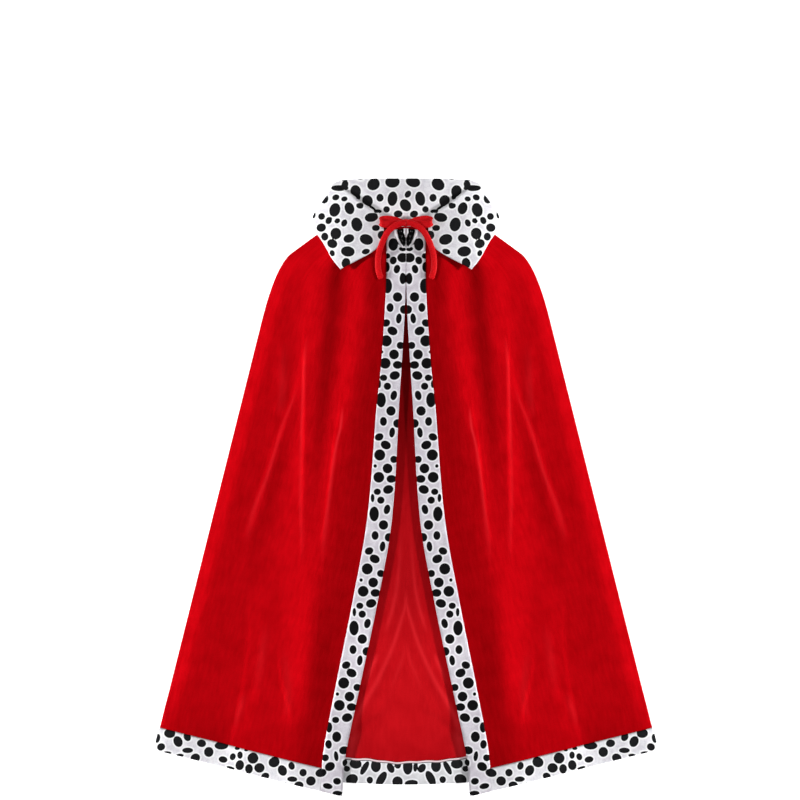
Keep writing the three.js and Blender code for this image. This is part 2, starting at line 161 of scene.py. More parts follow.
# finer creases of a front, which the solids leave out
frontCreases = [
    [(215, 132, 0, 7, 12), (157, 151, 1.2, 7, 12), (99, 171, 2.0, 7, 13), (56, 186, 2.2, 8, 14),
     (-31, 213, 1.6, 8, 14), (-75, 225, 1.0, 10, 14), (-150, 240, 0, 10, 14)],
    [(270, 176, 0, 9, 14), (190, 178, 1.0, 9, 14), (120, 184, 1.0, 9, 14), (40, 200, 0, 9, 14)],
    [(245, 147, 0, 2.4, 7), (200, 147, 0.8, 2.4, 7), (130, 146.5, 1.2, 2.4, 7), (50, 147.5, 1.2, 2.4, 7),
     (0, 148.5, 0.9, 2.4, 7), (-50, 150, 0.6, 2.4, 7), (-110, 150, 0, 2.4, 7)],
    [(130, 92, 0, 2.4, 8), (100, 97, 1.0, 2.4, 8), (70, 102, 1.4, 2.4, 8), (12, 109, 1.4, 2.4, 8),
     (-41, 116.5, 0.9, 2.4, 8), (-90, 123, 0, 2.4, 8)],
    [(-235, 184, 0, 3, 8), (-270, 180, 0.9, 3, 8), (-320, 168, 0.9, 3, 8), (-355, 164, 0, 3, 8)],
    [(-150, 222, 0, 4, 9), (-230, 226, 0.7, 4, 9), (-300, 236, 0.9, 4, 9), (-380, 252, 0.6, 4, 9)],
]
# folds of the back where it shows
backFolds = [
    [(-100, 3, 0, 9, 8), (-175, 9, 2.0, 10, 9), (-245, 31, 2.4, 11, 10), (-300, 52, 1.6, 10, 10),
     (-330, 66, 0, 9, 9)],
    [(-190, 2, 0, 6, 6), (-240, 8, 1.0, 7, 7), (-300, 26, 1.4, 8, 8), (-345, 46, 1.0, 8, 8),
     (-370, 60, 0, 8, 8)],
]
# painted highlights along creases, and painted shade, put into the velvet's colour: y, x, how much, width on
# the outer side, on the inner side
frontPaintedHighlights = [
    [(222, 143.5, 0, 1.4, 3), (190, 147.6, 0.14, 1.4, 3), (143, 149.5, 0.16, 1.4, 3),
     (89, 151.8, 0.15, 1.4, 3), (41, 153.2, 0.1, 1.4, 4), (-6, 154, 0.1, 1.6, 4),
     (-64, 152.3, 0.08, 1.6, 4), (-110, 150.8, 0, 1.6, 4)],
    [(118, 92, 0, 1.4, 2), (105, 93, 0.26, 1.4, 2), (87, 95.2, 0.36, 1.4, 2), (66, 100.5, 0.26, 1.5, 2.2),
     (31, 106.6, 0.2, 1.6, 2.6), (2, 110, 0.18, 1.6, 3), (-21, 112.7, 0.17, 1.8, 3),
     (-46, 116.4, 0.14, 2, 4), (-75, 119.9, 0.08, 2.5, 5), (-110, 122.2, 0, 3, 5)],
    [(148, 157, 0, 2, 2), (124, 165.8, 0.1, 2, 2.5), (95, 178, 0.12, 2.2, 3), (56, 190, 0.14, 2.2, 3.5),
     (17, 202, 0.15, 2.2, 3.5), (-7, 211.7, 0.14, 2.4, 4), (-31, 221.4, 0.12, 3, 5),
     (-60, 228.7, 0.07, 3, 6), (-82, 232, 0, 3, 6)],
    [(215, 176, 0, 4, 6), (180, 179, 0.07, 4, 7), (133, 181, 0.09, 4, 7), (100, 186, 0, 4, 7)],
    [(-195, 203, 0, 5, 7), (-220, 206, 0.06, 5, 7), (-253, 211.7, 0.08, 5, 7), (-300, 217, 0, 5, 7)],
    [(-295, 234, 0, 4, 6), (-315, 240, 0.1, 4, 6), (-340, 247, 0.1, 4, 6), (-372, 251, 0.05, 4, 6)],
    [(-230, 178, 0, 5, 5), (-260, 174, 0.06, 5, 6), (-307, 171, 0.06, 5, 7), (-350, 180, 0, 5, 7)],
]
# painted shade low on a front, towards its side and in its middle
frontPaintedShade = [
    [(-325, 300, 0, 40, 40), (-352, 290, 0.22, 46, 46), (-385, 275, 0.28, 50, 50)],
    [(-325, 160, 0, 30, 26), (-357, 155, 0.16, 34, 30), (-420, 145, 0.16, 40, 36)],
]
# painted highlights along faint creases of the back
backPaintedHighlights = [
    [(-60, 7, 0, 2.4, 2.6), (-111, 9.9, 0.12, 2.4, 2.8), (-144, 13.5, 0.15, 2.4, 3),
     (-169, 18.4, 0.18, 2.6, 3.2), (-191, 24.4, 0.17, 2.6, 3.2), (-212, 31, 0, 2.6, 3.2)],
    [(-146, 0.4, 0, 2.2, 2.4), (-171, 1.5, 0.18, 2.2, 2.6), (-188, 6.2, 0.19, 2.4, 2.8),
     (-212, 13.5, 0.2, 2.6, 3.2), (-238.5, 23.2, 0.21, 2.8, 3.4), (-260, 32.9, 0.21, 3, 3.6),
     (-285, 45, 0.22, 3.6, 4), (-309, 59.5, 0.24, 4.4, 4.4), (-333, 71.5, 0.24, 5, 5), (-352, 80, 0, 5, 5)],
    [(-238, 40, 0, 2.4, 2.4), (-250, 45, 0.22, 2.8, 3), (-264, 51.5, 0.24, 3, 3.2), (-287, 59, 0, 3, 3.2)],
    [(-222, 0.5, 0, 2.4, 2.8), (-249, 6, 0.08, 2.4, 3), (-268, 13.5, 0.08, 2.4, 3.4),
     (-296, 24, 0, 2.4, 3.4)],
]
# painted shade down the middle of the back under the collar, and in its lower corners
backPaintedShade = [
    [(250, 0, 0.62, 24, 24), (120, 0, 0.5, 26, 26), (50, 0, 0.32, 28, 28), (-10, 0, 0.12, 30, 30),
     (-60, 0, 0, 30, 30)],
    [(-318, 22, 0, 10, 10), (-333, 48, 0.12, 9, 9), (-347, 66, 0.16, 8, 8), (-362, 82, 0.1, 8, 8)],
    [(-350, 92, 0, 14, 14), (-372, 88, 0.08, 14, 14), (-400, 92, 0.08, 14, 14)],
]


def sideOutline():
    # shoulder, the turn over its point and the straight side seam
    shoulder, bend, seamTop = Vector((168, 340)), Vector((190, 320)), Vector((208.8, 244.6))
    points = [Vector((88, 398)), shoulder]
    for k in range(1, 31):
        t = k / 30
        points.append(shoulder * (1 - t) ** 2 + bend * (2 * t * (1 - t)) + seamTop * t * t)
    points.append(Vector((cape["halfHem"], cape["sideHemY"])))
    run = [0]
    for a, b in zip(points, points[1:]):
        run.append(run[-1] + (b - a).length)
    return points, run


outline, outlineRun = sideOutline()
sideLength = outlineRun[-1]


def sideAt(place):
    place = clamp(place, 0, sideLength)
    k = 0
    while k < len(outline) - 2 and outlineRun[k + 1] < place:
        k += 1
    return outline[k].lerp(outline[k + 1], (place - outlineRun[k]) / (outlineRun[k + 1] - outlineRun[k]))


def distanceToSide(x, y):
    here = Vector((x, y))
    best = 1e9
    # well below the shoulder only the straight seam is near
    for a, b in [outline[-2:]] if y < 230 else zip(outline, outline[1:]):
        way = b - a
        t = clamp((here - a).dot(way) / way.dot(way), 0, 1)
        best = min(best, (a + way * t - here).length)
    return best


def frontEdgeX(y):
    return readRows(frontEdge, y, 1)


def backHemAt(x):
    return mix(cape["backHemY"], cape["sideHemY"], (x / cape["halfHem"]) ** 2)


def foldHeight(rows, x, y):
    # a soft ridge along the crest that the rows give; none past their ends or far from them
    if y > rows[0][0] or y < rows[-1][0]:
        return 0
    away = x - readRows(rows, y, 1)
    if abs(away) > cape["foldReach"]:
        return 0
    width = readRows(rows, y, 3 if away > 0 else 4)
    return max(readRows(rows, y, 2), 0) * math.exp(-(away / width) ** 2)


def overHem(x, y):
    return 1 - easeStep(y - backHemAt(x), cape["backHemBorder"] + 26, cape["backHemBorder"] + 66)


def overCollar(y):
    return easeStep(y, 318, 360)


def backUnder(x, y):
    hem = 1 - easeStep(y - backHemAt(x), cape["backHemBorder"] + 2, cape["backHemBorder"] + 45)
    folds = sum(foldHeight(rows, abs(x), y) for rows in backFolds)
    return plushStep * hem + cape["backOverCollar"] * overCollar(y) + folds


def frontUnder(x, y):
    fromSide = distanceToSide(x, y)
    hem, neck = overHem(x, y), overCollar(y)
    flat = cape["frontLevel"] + (cape["frontOverHem"] - cape["frontLevel"]) * hem \
        + (cape["frontOverCollar"] - cape["frontLevel"]) * neck
    rim = cape["rimLevel"] + (cape["rimOverHem"] - cape["rimLevel"]) * hem \
        + (cape["rimOverCollar"] - cape["rimLevel"]) * neck
    if fromSide < cape["rollCrest"]:
        roll = math.sin(math.pi / 2 * fromSide / cape["rollCrest"])
    else:
        roll = math.exp(-((fromSide - cape["rollCrest"]) / cape["rollFall"]) ** 2)
    folds = sum(foldHeight(rows, x, y) for rows in frontFolds)
    creases = sum(foldHeight(rows, x, y) for rows in frontCreases)
    fade = 1 - (1 - cape["lowerHemFade"]) * hem
    return (mix(rim, flat, easeStep(fromSide, 0, 24)) + fade * (1 - 0.75 * neck) * cape["rollHeight"] * roll
            + fade * (folds + creases) * easeStep(fromSide, 0, 30))


def frontPaintedLight(x, y):
    # painted highlight (above 0) and painted shade (below 0) on a front at a place; painted shade lies along
    # the sewn border
    fromBorder = x - frontEdgeX(y) - readRows(frontBorderWidth, y, 1)
    paintedBorderShade = 0.2 * math.exp(-(max(fromBorder, 0) / 26) ** 2)
    return (sum(foldHeight(rows, x, y) for rows in frontPaintedHighlights)
            - sum(foldHeight(rows, x, y) for rows in frontPaintedShade) - paintedBorderShade)


def backPaintedLight(x, y):
    # painted highlights and painted shade on the back, with painted light beside the fronts' edges, low down,
    # where their shadow falls
    paintedFill = 0.42 * math.exp(-((frontEdgeX(y) - abs(x) - 5) / 9) ** 2) * (1 - easeStep(y, -362, -330))
    return (sum(foldHeight(rows, abs(x), y) for rows in backPaintedHighlights)
            - sum(foldHeight(rows, abs(x), y) for rows in backPaintedShade) + paintedFill)


frontLength = cape["frontNeckY"] - (cape["lowestY"] + cape["borderTurn"])
backLength = cape["backNeckY"] - cape["backHemY"]


def sidePlace(place, length, band):
    # how far down the side a row ends whose centre end is at place
    even = cape["evenRows"]
    if place < even:
        return place
    if place < length - band:
        return mix(even, sideLength - band, (place - even) / (length - band - even))
    return sideLength - (length - place)


def frontPoint(place, inward, share=None, rise=0):
    # place is the distance down from the neck; inward is from the cloth's front edge, or share of the width
    y = cape["frontNeckY"] - place
    start = Vector((frontEdgeX(y) + cape["borderTurn"], y))
    end = sideAt(sidePlace(place, frontLength, cape["frontHemBorder"]))
    if share is None:
        share = inward / (end - start).length
    at = start.lerp(end, share)
    dip = cape["neckDip"] * 4 * share * (1 - share) * (1 - easeStep(place, 0, 60))
    y = at.y - max(dip, 0)
    return Vector((at.x, y, frontUnder(at.x, y) + rise))


def backPoint(share, place, rise=0):
    end = sideAt(sidePlace(place, backLength, cape["backHemBorder"]))
    x = share * end.x
    y = mix(cape["backNeckY"] - place, end.y, share * share)
    return Vector((x, y, backUnder(x, y) + rise))


# making pieces out of grids of points

sides = (("left", False), ("right", True))  # the end of a piece's name, and whether it is mirrored


def newCloth():
    # every cloth mesh has a uv map in metres along the cloth, and a value on each corner: on plush the
    # distance in mm to the nearest oval, on velvet the painted highlight, above 0, and painted shade, below 0
    bm = bmesh.new()
    return bm, bm.loops.layers.uv.new("cloth"), bm.verts.layers.float.new("clothValue")


def gridMesh(bm, points, values, uvLayer, valueLayer):
    # a bmesh grid whose corners are moved to points[i][j]; values are kept on the corners
    columns, rows = len(points) - 1, len(points[0]) - 1
    made = bmesh.ops.create_grid(bm, x_segments=columns, y_segments=rows, size=0.5)
    cloth = {}
    for vert in made["verts"]:
        i, j = round((vert.co.x + 0.5) * columns), round((vert.co.y + 0.5) * rows)
        cloth[vert] = (i, j)
        vert.co = points[i][j] * mm
        vert[valueLayer] = values[i][j]
    across, along = gridRuns(points)
    for face in {face for vert in made["verts"] for face in vert.link_faces}:
        for loop in face.loops:
            i, j = cloth[loop.vert]
            loop[uvLayer].uv = (across[i] * mm, along[j] * mm)


def gridRuns(points):
    # lengths across and along the cloth, measured through its middle
    midI, midJ = len(points) // 2, len(points[0]) // 2
    across, along = [0], [0]
    for i in range(1, len(points)):
        across.append(across[-1] + (points[i][midJ] - points[i - 1][midJ]).length)
    for j in range(1, len(points[0])):
        along.append(along[-1] + (points[midI][j] - points[midI][j - 1]).length)
    return across, along


def finishMesh(bm, name, material, nodes, mirror=False):
    if mirror:
        bmesh.ops.scale(bm, vec=(-1, 1, 1), verts=bm.verts)
        bmesh.ops.reverse_faces(bm, faces=bm.faces)
    mesh = bpy.data.meshes.new(name)
    bm.to_mesh(mesh)
    bm.free()
    for polygon in mesh.polygons:
        polygon.use_smooth = True
    piece = bpy.data.objects.new(name, mesh)
    mesh.materials.append(material)
    scene.collection.objects.link(piece)
    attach(piece, "root")
    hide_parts(*nodes)
    return piece


def thickSheet(name, points, thickness, material, nodes, values=None, mirror=False):
    bm, uvLayer, valueLayer = newCloth()
    values = values or [[farFromSpot] * len(points[0]) for _ in points]
    gridMesh(bm, points, values, uvLayer, valueLayer)
    bmesh.ops.recalc_face_normals(bm, faces=bm.faces)
    piece = finishMesh(bm, name, material, nodes, mirror)
    wall = piece.modifiers.new("wall", "SOLIDIFY")
    wall.thickness = thickness * mm
    wall.offset = 0
    return piece


# the spotted print. Charts count in squares of the print; each row is one oval:
# across, up, half width, half length, turn in degrees

square = 1.45
farFromSpot = 9.0

# one repeat of the print down a front border, from its folded edge: distance in, distance down
stripRepeat = 114
stripStart = 202.5  # where down a front the first repeat starts
stripTop, stripFoot = 205, -234  # the top leaf has ovals of its own above and below these
stripChart = [
    (18, 0, 4.5, 7.2, 0), (7.5, 11, 4.5, 4.6, 0), (14.5, 21.5, 3.3, 4.3, 0), (0.2, 23.5, 4.2, 4.2, 0),
    (5.3, 32.5, 2.6, 4.9, 8), (18, 37, 4.2, 3.4, -25), (11, 45, 5, 4, 25), (16.6, 55, 5.3, 5.4, 0),
    (2.3, 59.5, 3.4, 3.4, 0), (20.5, 66, 1.5, 1.6, 0), (8, 68.5, 4.7, 4.7, 0), (16.2, 77.3, 5.2, 5.2, 0),
    (3.8, 79, 4.5, 3.7, 0), (6, 89.5, 5, 4.1, -20), (16.8, 91.8, 3.4, 3, 0), (21, 98, 1.6, 4, 0),
    (12.6, 100.2, 3.5, 3.4, 0), (5.6, 109.5, 3, 4.7, 15),
]
# ovals that are placed one by one, from the centre line and the middle of the cape. First those under the bow
neckSpots = [
    (5.4, 252, 5, 8.6, 0), (3.4, 246, 2.4, 4, -12), (3.8, 239.2, 3.2, 1.9, 10),
    (12.7, 243.9, 4.6, 6, 0), (19, 232.5, 3, 2.6, 0), (3.4, 230.7, 5.2, 4.5, 0), (12.7, 227.9, 3.2, 3.8, 20),
    (19.6, 221.5, 3, 5, 0), (9, 219.5, 3, 4.2, 15), (3.2, 210, 2.9, 5.5, 0),
]
# lines of the gathers there, which stay white: points, half width
neckWhites = [
    ([(10, 257), (8.6, 250), (6, 244.5), (3, 241.2)], 1.5), ([(4.9, 258), (3.8, 250), (2.9, 245.5)], 0.5),
    ([(6.8, 258), (5.6, 252), (4.8, 248)], 0.4), ([(0, 260), (0.4, 256)], 3.4),
    ([(0.4, 257), (0.2, 252)], 2.0), ([(0, 258), (0, 226)], 1.3),
]
# at the foot of a front border
cornerSpots = [
    (85, -284, 5.3, 3.9, -10), (76, -277.8, 5, 4.1, -30), (78.2, -297.3, 4.8, 2.7, 12),
    (68.8, -292.5, 3.8, 3.2, 10), (68.5, -304.5, 4.6, 2.4, 0), (69.2, -248, 4.3, 5, 0),
    (77.2, -255.5, 3, 4.2, -5), (62, -261.5, 4.6, 3.8, -15), (69.7, -267.3, 2, 4.9, -8),
    (80.5, -269, 3.4, 3.2, -30), (60, -274.5, 3.2, 4, -10), (77, -238.5, 3, 5, 0),
]
frontHemSpots = [
    (248.5, -249.5, 2.7, 4.5, 12), (244.7, -258, 3.9, 3.4, -25), (236, -244.5, 5.4, 4.2, 5),
    (227.7, -252.5, 4.2, 5.4, -25), (218.5, -248, 3.2, 4.2, -30), (238, -263.7, 3.5, 1, 8),
    (225.8, -266.5, 3.5, 1.4, 0), (218, -261.5, 5.2, 2.5, 0), (210.5, -269, 4.6, 4, -20),
    (204.2, -254.5, 4.4, 3.5, 10), (197, -263.2, 4.5, 4.8, 0), (184.5, -256.8, 6.6, 3.6, 0),
    (182.8, -270.7, 4.3, 3, 10), (175.2, -278.8, 4, 1.1, 15), (173, -267.7, 2.7, 3.4, 20),
    (165.8, -266, 2.5, 3.5, 0), (166, -276, 4, 4.8, 10), (156.8, -279.7, 3.6, 4.5, 0),
    (152.7, -269, 5.2, 5.2, 0), (146.2, -278.8, 4.9, 4.6, 0), (140.5, -287, 3.9, 3.2, -25),
    (168.7, -259.5, 2.4, 1.3, 5), (159.5, -261.1, 2, 1, 0), (131.7, -273, 5.4, 4.8, -20),
    (123.5, -281.3, 4.2, 5.3, -25), (114.2, -276.7, 2.9, 3.7, -20), (113.5, -290, 4.8, 2.5, 3),
    (120.8, -294.5, 3, 1.1, 15), (107, -296, 4.4, 3.5, 0), (102.7, -283.5, 3.4, 3.6, 0),
    (95, -292, 4.6, 4.5, 0), (85, -284, 5.3, 3.9, -10),
]
backHemSpots = [
    (-50.4, -275.6, 5.8, 4.6, -5), (-59.1, -280.5, 3, 2.7, 0), (-54.1, -291.2, 6, 5, 20),
    (-41.4, -279.8, 2.6, 7.4, -30), (-30.1, -277.6, 4.8, 6.2, 0), (-36.2, -291.9, 3, 3.2, 0),
    (-24.6, -290.9, 3.7, 8.2, -32), (-15.4, -279.8, 3.2, 5, 28), (-8.2, -276.6, 3.1, 3.6, 0),
    (-8.5, -293.6, 5, 5.2, 0), (1.8, -278.6, 4.6, 7.6, 0), (9.6, -278.4, 1.8, 5, -8),
    (15.9, -280, 3.3, 4.6, -35), (5.3, -295, 6.4, 3, 5), (30, -277.4, 4.8, 6.2, 0),
    (24.6, -290, 3.8, 7.8, 28), (41.6, -279.5, 2.6, 7.4, 28), (36.8, -291.5, 3.1, 3.2, 0),
    (50.9, -275.6, 5.8, 4.6, 5), (59.6, -280.5, 3, 2.7, 0), (54.6, -291.2, 6, 5, -20),
]
collarPointSpots = [
    (81.5, 289.5, 4, 5, 0), (70, 290.5, 3.5, 2.8, -15), (61.5, 289, 3, 2.3, -10),
    (71, 278, 5.2, 6.7, 15), (56.5, 279.5, 4.5, 6, -20), (46.2, 281.8, 3.4, 2.5, 15), (92, 274, 2, 4, 0),
    (84.2, 271.5, 3.3, 3.2, 0), (77, 267.5, 2.9, 3.5, 25), (68.5, 267, 2.8, 2.3, -20),
    (61.5, 265, 2.7, 3.6, 25), (49, 263.5, 5.2, 6.8, -15), (34.5, 270.5, 6.5, 4.3, -10),
    (30, 260, 3.8, 2.8, 0), (84.5, 260.5, 4.6, 3.9, -10), (81, 251.5, 3.5, 3.8, 0),
    (70, 254.5, 5.2, 5.5, 0), (73.5, 244.5, 5, 4.2, 20), (57, 249.5, 5.2, 4, -15),
    (39.5, 248.5, 6.6, 4.9, 20), (24, 252.9, 4, 4.2, 0), (58, 236.5, 6.6, 4.9, 8),
    (73.5, 235, 2.3, 3, -20), (40, 236.5, 4, 2.6, -15), (60, 225, 4.1, 5, 10),
]
collarCornerSpots = [(65.8, 300, 8.3, 2.7, 0), (61, 303.6, 3.1, 3.8, 15)]
collarStandSpots = [
    (-32.5, 303.5, 6.2, 5.3, 25), (-13.5, 305.9, 7, 5.2, 0), (7, 306, 7, 4.8, -10),
    (-26, 290.5, 3.4, 3.7, 0), (-13.5, 289.5, 4.7, 7.1, -8), (2, 294, 2.7, 3.6, -35),
    (-0.5, 283, 5, 6.3, 35), (-8, 274.5, 4.2, 3.3, 5), (14.2, 289.5, 4.6, 7, 15),
    (32, 303.5, 6.5, 5.3, -30), (27, 290.5, 3.4, 3.7, 0), (8, 274.3, 4, 3.2, 20),
]
# ovals of the stand that lie alike on both sides
collarStandPairs = [
    (19.5, 279, 3.1, 3, 0), (45.5, 309.6, 3.2, 1.4, 0), (50.3, 297, 5, 5.8, -10), (48, 291, 2.4, 2.6, 0),
    (38.5, 287.5, 5, 5.5, -30), (33.5, 280, 3.6, 1.4, 35), (28.5, 277, 4, 1.8, 0),
]


class SpotMap:
    # distance in mm from each corner of a grid to the edge of the nearest oval, negative inside it
    def __init__(self, points, layerOf, tilted=False):
        self.points = points
        self.tilted = tilted
        self.layerOf = layerOf
        self.values = [[farFromSpot] * len(points[0]) for _ in points]
        self.keys = [(i, j) for i in range(len(points)) for j in range(len(points[0]))]
        self.tree = KDTree(len(self.keys))
        for n, (i, j) in enumerate(self.keys):
            self.tree.insert(points[i][j], n)
        self.tree.balance()
        self.plans = {}

    def nearest(self, x, y, layer):
        # the corner of one layer that lies under a place, seen from above
        if layer not in self.plans:
            keys = [key for key in self.keys if self.layerOf(*key) in (layer, "turn")]
            plan = KDTree(len(keys))
            for n, (i, j) in enumerate(keys):
                point = self.points[i][j]
                plan.insert((point.x, point.y, 0), n)
            plan.balance()
            self.plans[layer] = plan, keys
        plan, keys = self.plans[layer]
        under = plan.find_range((x, y, 0), 2) or [plan.find((x, y, 0))]
        return max((keys[n] for _, n, _ in under), key=lambda key: self.points[key[0]][key[1]].z)

    def frameAt(self, i, j):
        if not self.tilted:
            return Vector((1, 0, 0)), Vector((0, 1, 0))
        points = self.points
        a = points[min(i + 1, len(points) - 1)][j] - points[max(i - 1, 0)][j]
        b = points[i][min(j + 1, len(points[0]) - 1)] - points[i][max(j - 1, 0)]
        normal = a.cross(b).normalized()
        if normal.z < 0:
            normal = -normal
        right = Vector((1, 0, 0)) - normal * normal.x
        if right.length < 0.2:
            right = Vector((0, 0, -1 if normal.x > 0 else 1))
        right.normalize()
        return right, normal.cross(right)

    def oval(self, x, y, layer, halfWidth, halfLength, turn):
        key = self.nearest(x, y, layer)
        right, up = self.frameAt(*key)
        near = self.points[key[0]][key[1]]
        centre = near
        if math.hypot(x - near.x, y - near.y) < 3:
            centre = near + right * (x - near.x) * 0.9 + up * (y - near.y) * 0.9
        cosine, sine = math.cos(math.radians(turn)), math.sin(math.radians(turn))
        reach = max(halfWidth, halfLength) + 4
        for _, n, _ in self.tree.find_range(centre, reach):
            i, j = self.keys[n]
            here = self.layerOf(i, j)  # an oval of a hidden layer stays on it
            if here != layer and (layer in ("under", "fall") or here not in ("turn", "flank")):
                continue
            d = self.points[i][j] - centre
            a, b = d.dot(right), d.dot(up)
            a, b = a * cosine + b * sine, b * cosine - a * sine
            q = math.hypot(a / halfWidth, b / halfLength)
            slope = math.hypot(a / halfWidth ** 2, b / halfLength ** 2)
            away = (q - 1) * q / slope if slope > 1e-9 else -min(halfWidth, halfLength)
            self.values[i][j] = min(self.values[i][j], away)

    def whiten(self, line, halfWidth, layer):
        # a line across the print that is kept clear of it
        for k in range(len(line) - 1):
            a, b = (Vector(p) * square for p in line[k:k + 2])
            for i, j in self.keys:
                if self.layerOf(i, j) not in (layer, "turn"):
                    continue
                here = self.points[i][j].xy
                t = clamp((here - a).dot(b - a) / (b - a).dot(b - a), 0, 1)
                away = halfWidth - (a + (b - a) * t - here).length
                self.values[i][j] = max(self.values[i][j], away)

    def chart(self, spots, layer, bothSides=False):
        for *sizes, turn in spots:
            x, y, halfWidth, halfLength = (size * square for size in sizes)
            self.oval(x, y, layer, halfWidth, halfLength, turn)
            if bothSides:
                self.oval(-x, y, layer, halfWidth, halfLength, -turn)


# materials

def newMaterial(name, roughness, specular):
    material = bpy.data.materials.new(name)
    material.use_nodes = True
    tree = material.node_tree
    shader = tree.nodes["Principled BSDF"]
    shader.inputs["Roughness"].default_value = roughness
    shader.inputs["Specular IOR Level"].default_value = specular
    return material, tree, shader


def clothCoords(tree):
    # coordinates in metres along the cloth
    node = tree.nodes.new("ShaderNodeUVMap")
    node.uv_map = "cloth"
    return node.outputs["UV"]


def clothValue(tree):
    node = tree.nodes.new("ShaderNodeAttribute")
    node.attribute_name = "clothValue"
    return node.outputs["Fac"]


def addNoise(tree, coords, scale, detail=2.0, roughness=0.5):
    node = tree.nodes.new("ShaderNodeTexNoise")
    node.inputs["Scale"].default_value = scale
    node.inputs["Detail"].default_value = detail
    node.inputs["Roughness"].default_value = roughness
    tree.links.new(coords, node.inputs["Vector"])
    return node.outputs["Fac"]


def addMath(tree, operation, a, b):
    node = tree.nodes.new("ShaderNodeMath")
    node.operation = operation
    for socket, value in zip(node.inputs, (a, b)):
        if isinstance(value, (int, float)):
            socket.default_value = value
        else:
            tree.links.new(value, socket)
    return node.outputs[0]


def addSum(tree, *parts):
    # the sum of noises, each with its share
    total = 0
    for part, share in parts:
        total = addMath(tree, "ADD", total, addMath(tree, "MULTIPLY", part, share))
    return total


def addRamp(tree, fac, stops):
    node = tree.nodes.new("ShaderNodeValToRGB")
    ramp = node.color_ramp
    while len(ramp.elements) < len(stops):
        ramp.elements.new(0.5)
    for element, (position, color) in zip(ramp.elements, stops):
        element.position = position
        element.color = (*color, 1)
    tree.links.new(fac, node.inputs["Fac"])
    return node.outputs["Color"]


def addMix(tree, share, a, b):
    node = tree.nodes.new("ShaderNodeMix")
    node.data_type = "RGBA"
    for socket, value in ((node.inputs["Factor"], share), (node.inputs[6], a), (node.inputs[7], b)):
        if isinstance(value, tuple):
            socket.default_value = (*value, 1)
        else:
            tree.links.new(value, socket)
    return node.outputs[2]


def addBump(tree, shader, height, strength, distance, under=None):
    node = tree.nodes.new("ShaderNodeBump")
    node.inputs["Strength"].default_value = strength
    node.inputs["Distance"].default_value = distance
    tree.links.new(height, node.inputs["Height"])
    if under:
        tree.links.new(under, node.inputs["Normal"])
    tree.links.new(node.outputs["Normal"], shader.inputs["Normal"])
    return node.outputs["Normal"]


velvetValues = {
    "low": (0.31, 0.0002, 0.0018), "high": (0.505, 0.0014, 0.0048), "paintedHighlightColor": (0.86, 0.030, 0.040),
    "paintedShadeColor": (0.02, 0.0, 0.0), "tint": (1.0, 0.05, 0.07), "roughness": 0.8, "specular": 0.015,
    "streaks": 240, "stretch": 0.16, "brushed": 38, "fine": 620, "lumps": 150,
    "napSize": 1500, "napDepth": 0.00010,
}
insideVelvetValues = {
    **velvetValues, "low": (0.285, 0.0020, 0.004), "high": (0.375, 0.004, 0.007), "napSize": 1100,
    "napDepth": 0.00006,
}


def makeVelvet(name, v):
    material, tree, shader = newMaterial(name, v["roughness"], v["specular"])
    coords = clothCoords(tree)
    along = tree.nodes.new("ShaderNodeMapping")
    along.inputs["Scale"].default_value = (1, v["stretch"], 1)  # draws the streaks out down the cloth
    tree.links.new(coords, along.inputs["Vector"])
    mottle = addSum(tree, (addNoise(tree, along.outputs["Vector"], v["streaks"], 3, 0.6), 0.35),
                    (addNoise(tree, coords, v["brushed"], 3, 0.55), 0.30),
                    (addNoise(tree, coords, v["fine"], 3, 0.7), 0.35))
    color = addRamp(tree, mottle, [(0.35, v["low"]), (0.65, v["high"])])
    # the corner value mixes in a painted highlight red above 0 and a painted shade red below 0
    pileAndPaintedLight = clothValue(tree)
    for sign, shade in ((1, v["paintedHighlightColor"]), (-1, v["paintedShadeColor"])):
        amount = tree.nodes.new("ShaderNodeClamp")
        tree.links.new(addMath(tree, "MULTIPLY", pileAndPaintedLight, sign), amount.inputs["Value"])
        color = addMix(tree, amount.outputs["Result"], color, shade)
    tree.links.new(color, shader.inputs["Base Color"])
    shader.inputs["Specular Tint"].default_value = (*v["tint"], 1)
    lumps = addBump(tree, shader, addNoise(tree, coords, v["lumps"], 2), 0.2, 0.0006)
    addBump(tree, shader, addNoise(tree, coords, v["napSize"], 3, 0.6), 0.5, v["napDepth"], lumps)
    return material


plushValues = {
    "spot": (0.009, 0.009, 0.010), "spotRim": (0.0015, 0.0015, 0.002), "halo": (0.84, 0.84, 0.85),
    "ground": (0.74, 0.73, 0.76), "shade": (0.53, 0.51, 0.56), "shadeFrom": 0.36, "shadeTo": 0.58,
    "pileSize": 1100, "pileDepth": 0.0004, "ragged": 0.9, "clouds": 55, "tufts": 520, "lumps": 120,
}
# a copy of the plush for the front borders: a greyer, darker ground as painted shade, and blacker ovals of
# print
shadedBorderPlushValues = {
    **plushValues, "spot": (0.003, 0.0027, 0.0033), "spotRim": (0.001, 0.001, 0.0012),
    "halo": (0.76, 0.75, 0.78), "ground": (0.64, 0.61, 0.66), "shade": (0.46, 0.43, 0.48),
    "shadeFrom": 0.4, "shadeTo": 0.64,
}
# a darker copy of the plush for the back hem, which lies low between the fronts: painted shade
shadedBackHemPlushValues = {
    **plushValues, "halo": (0.72, 0.72, 0.74), "ground": (0.60, 0.60, 0.615), "shade": (0.47, 0.47, 0.49),
    "shadeFrom": 0.4, "shadeTo": 0.62,
}


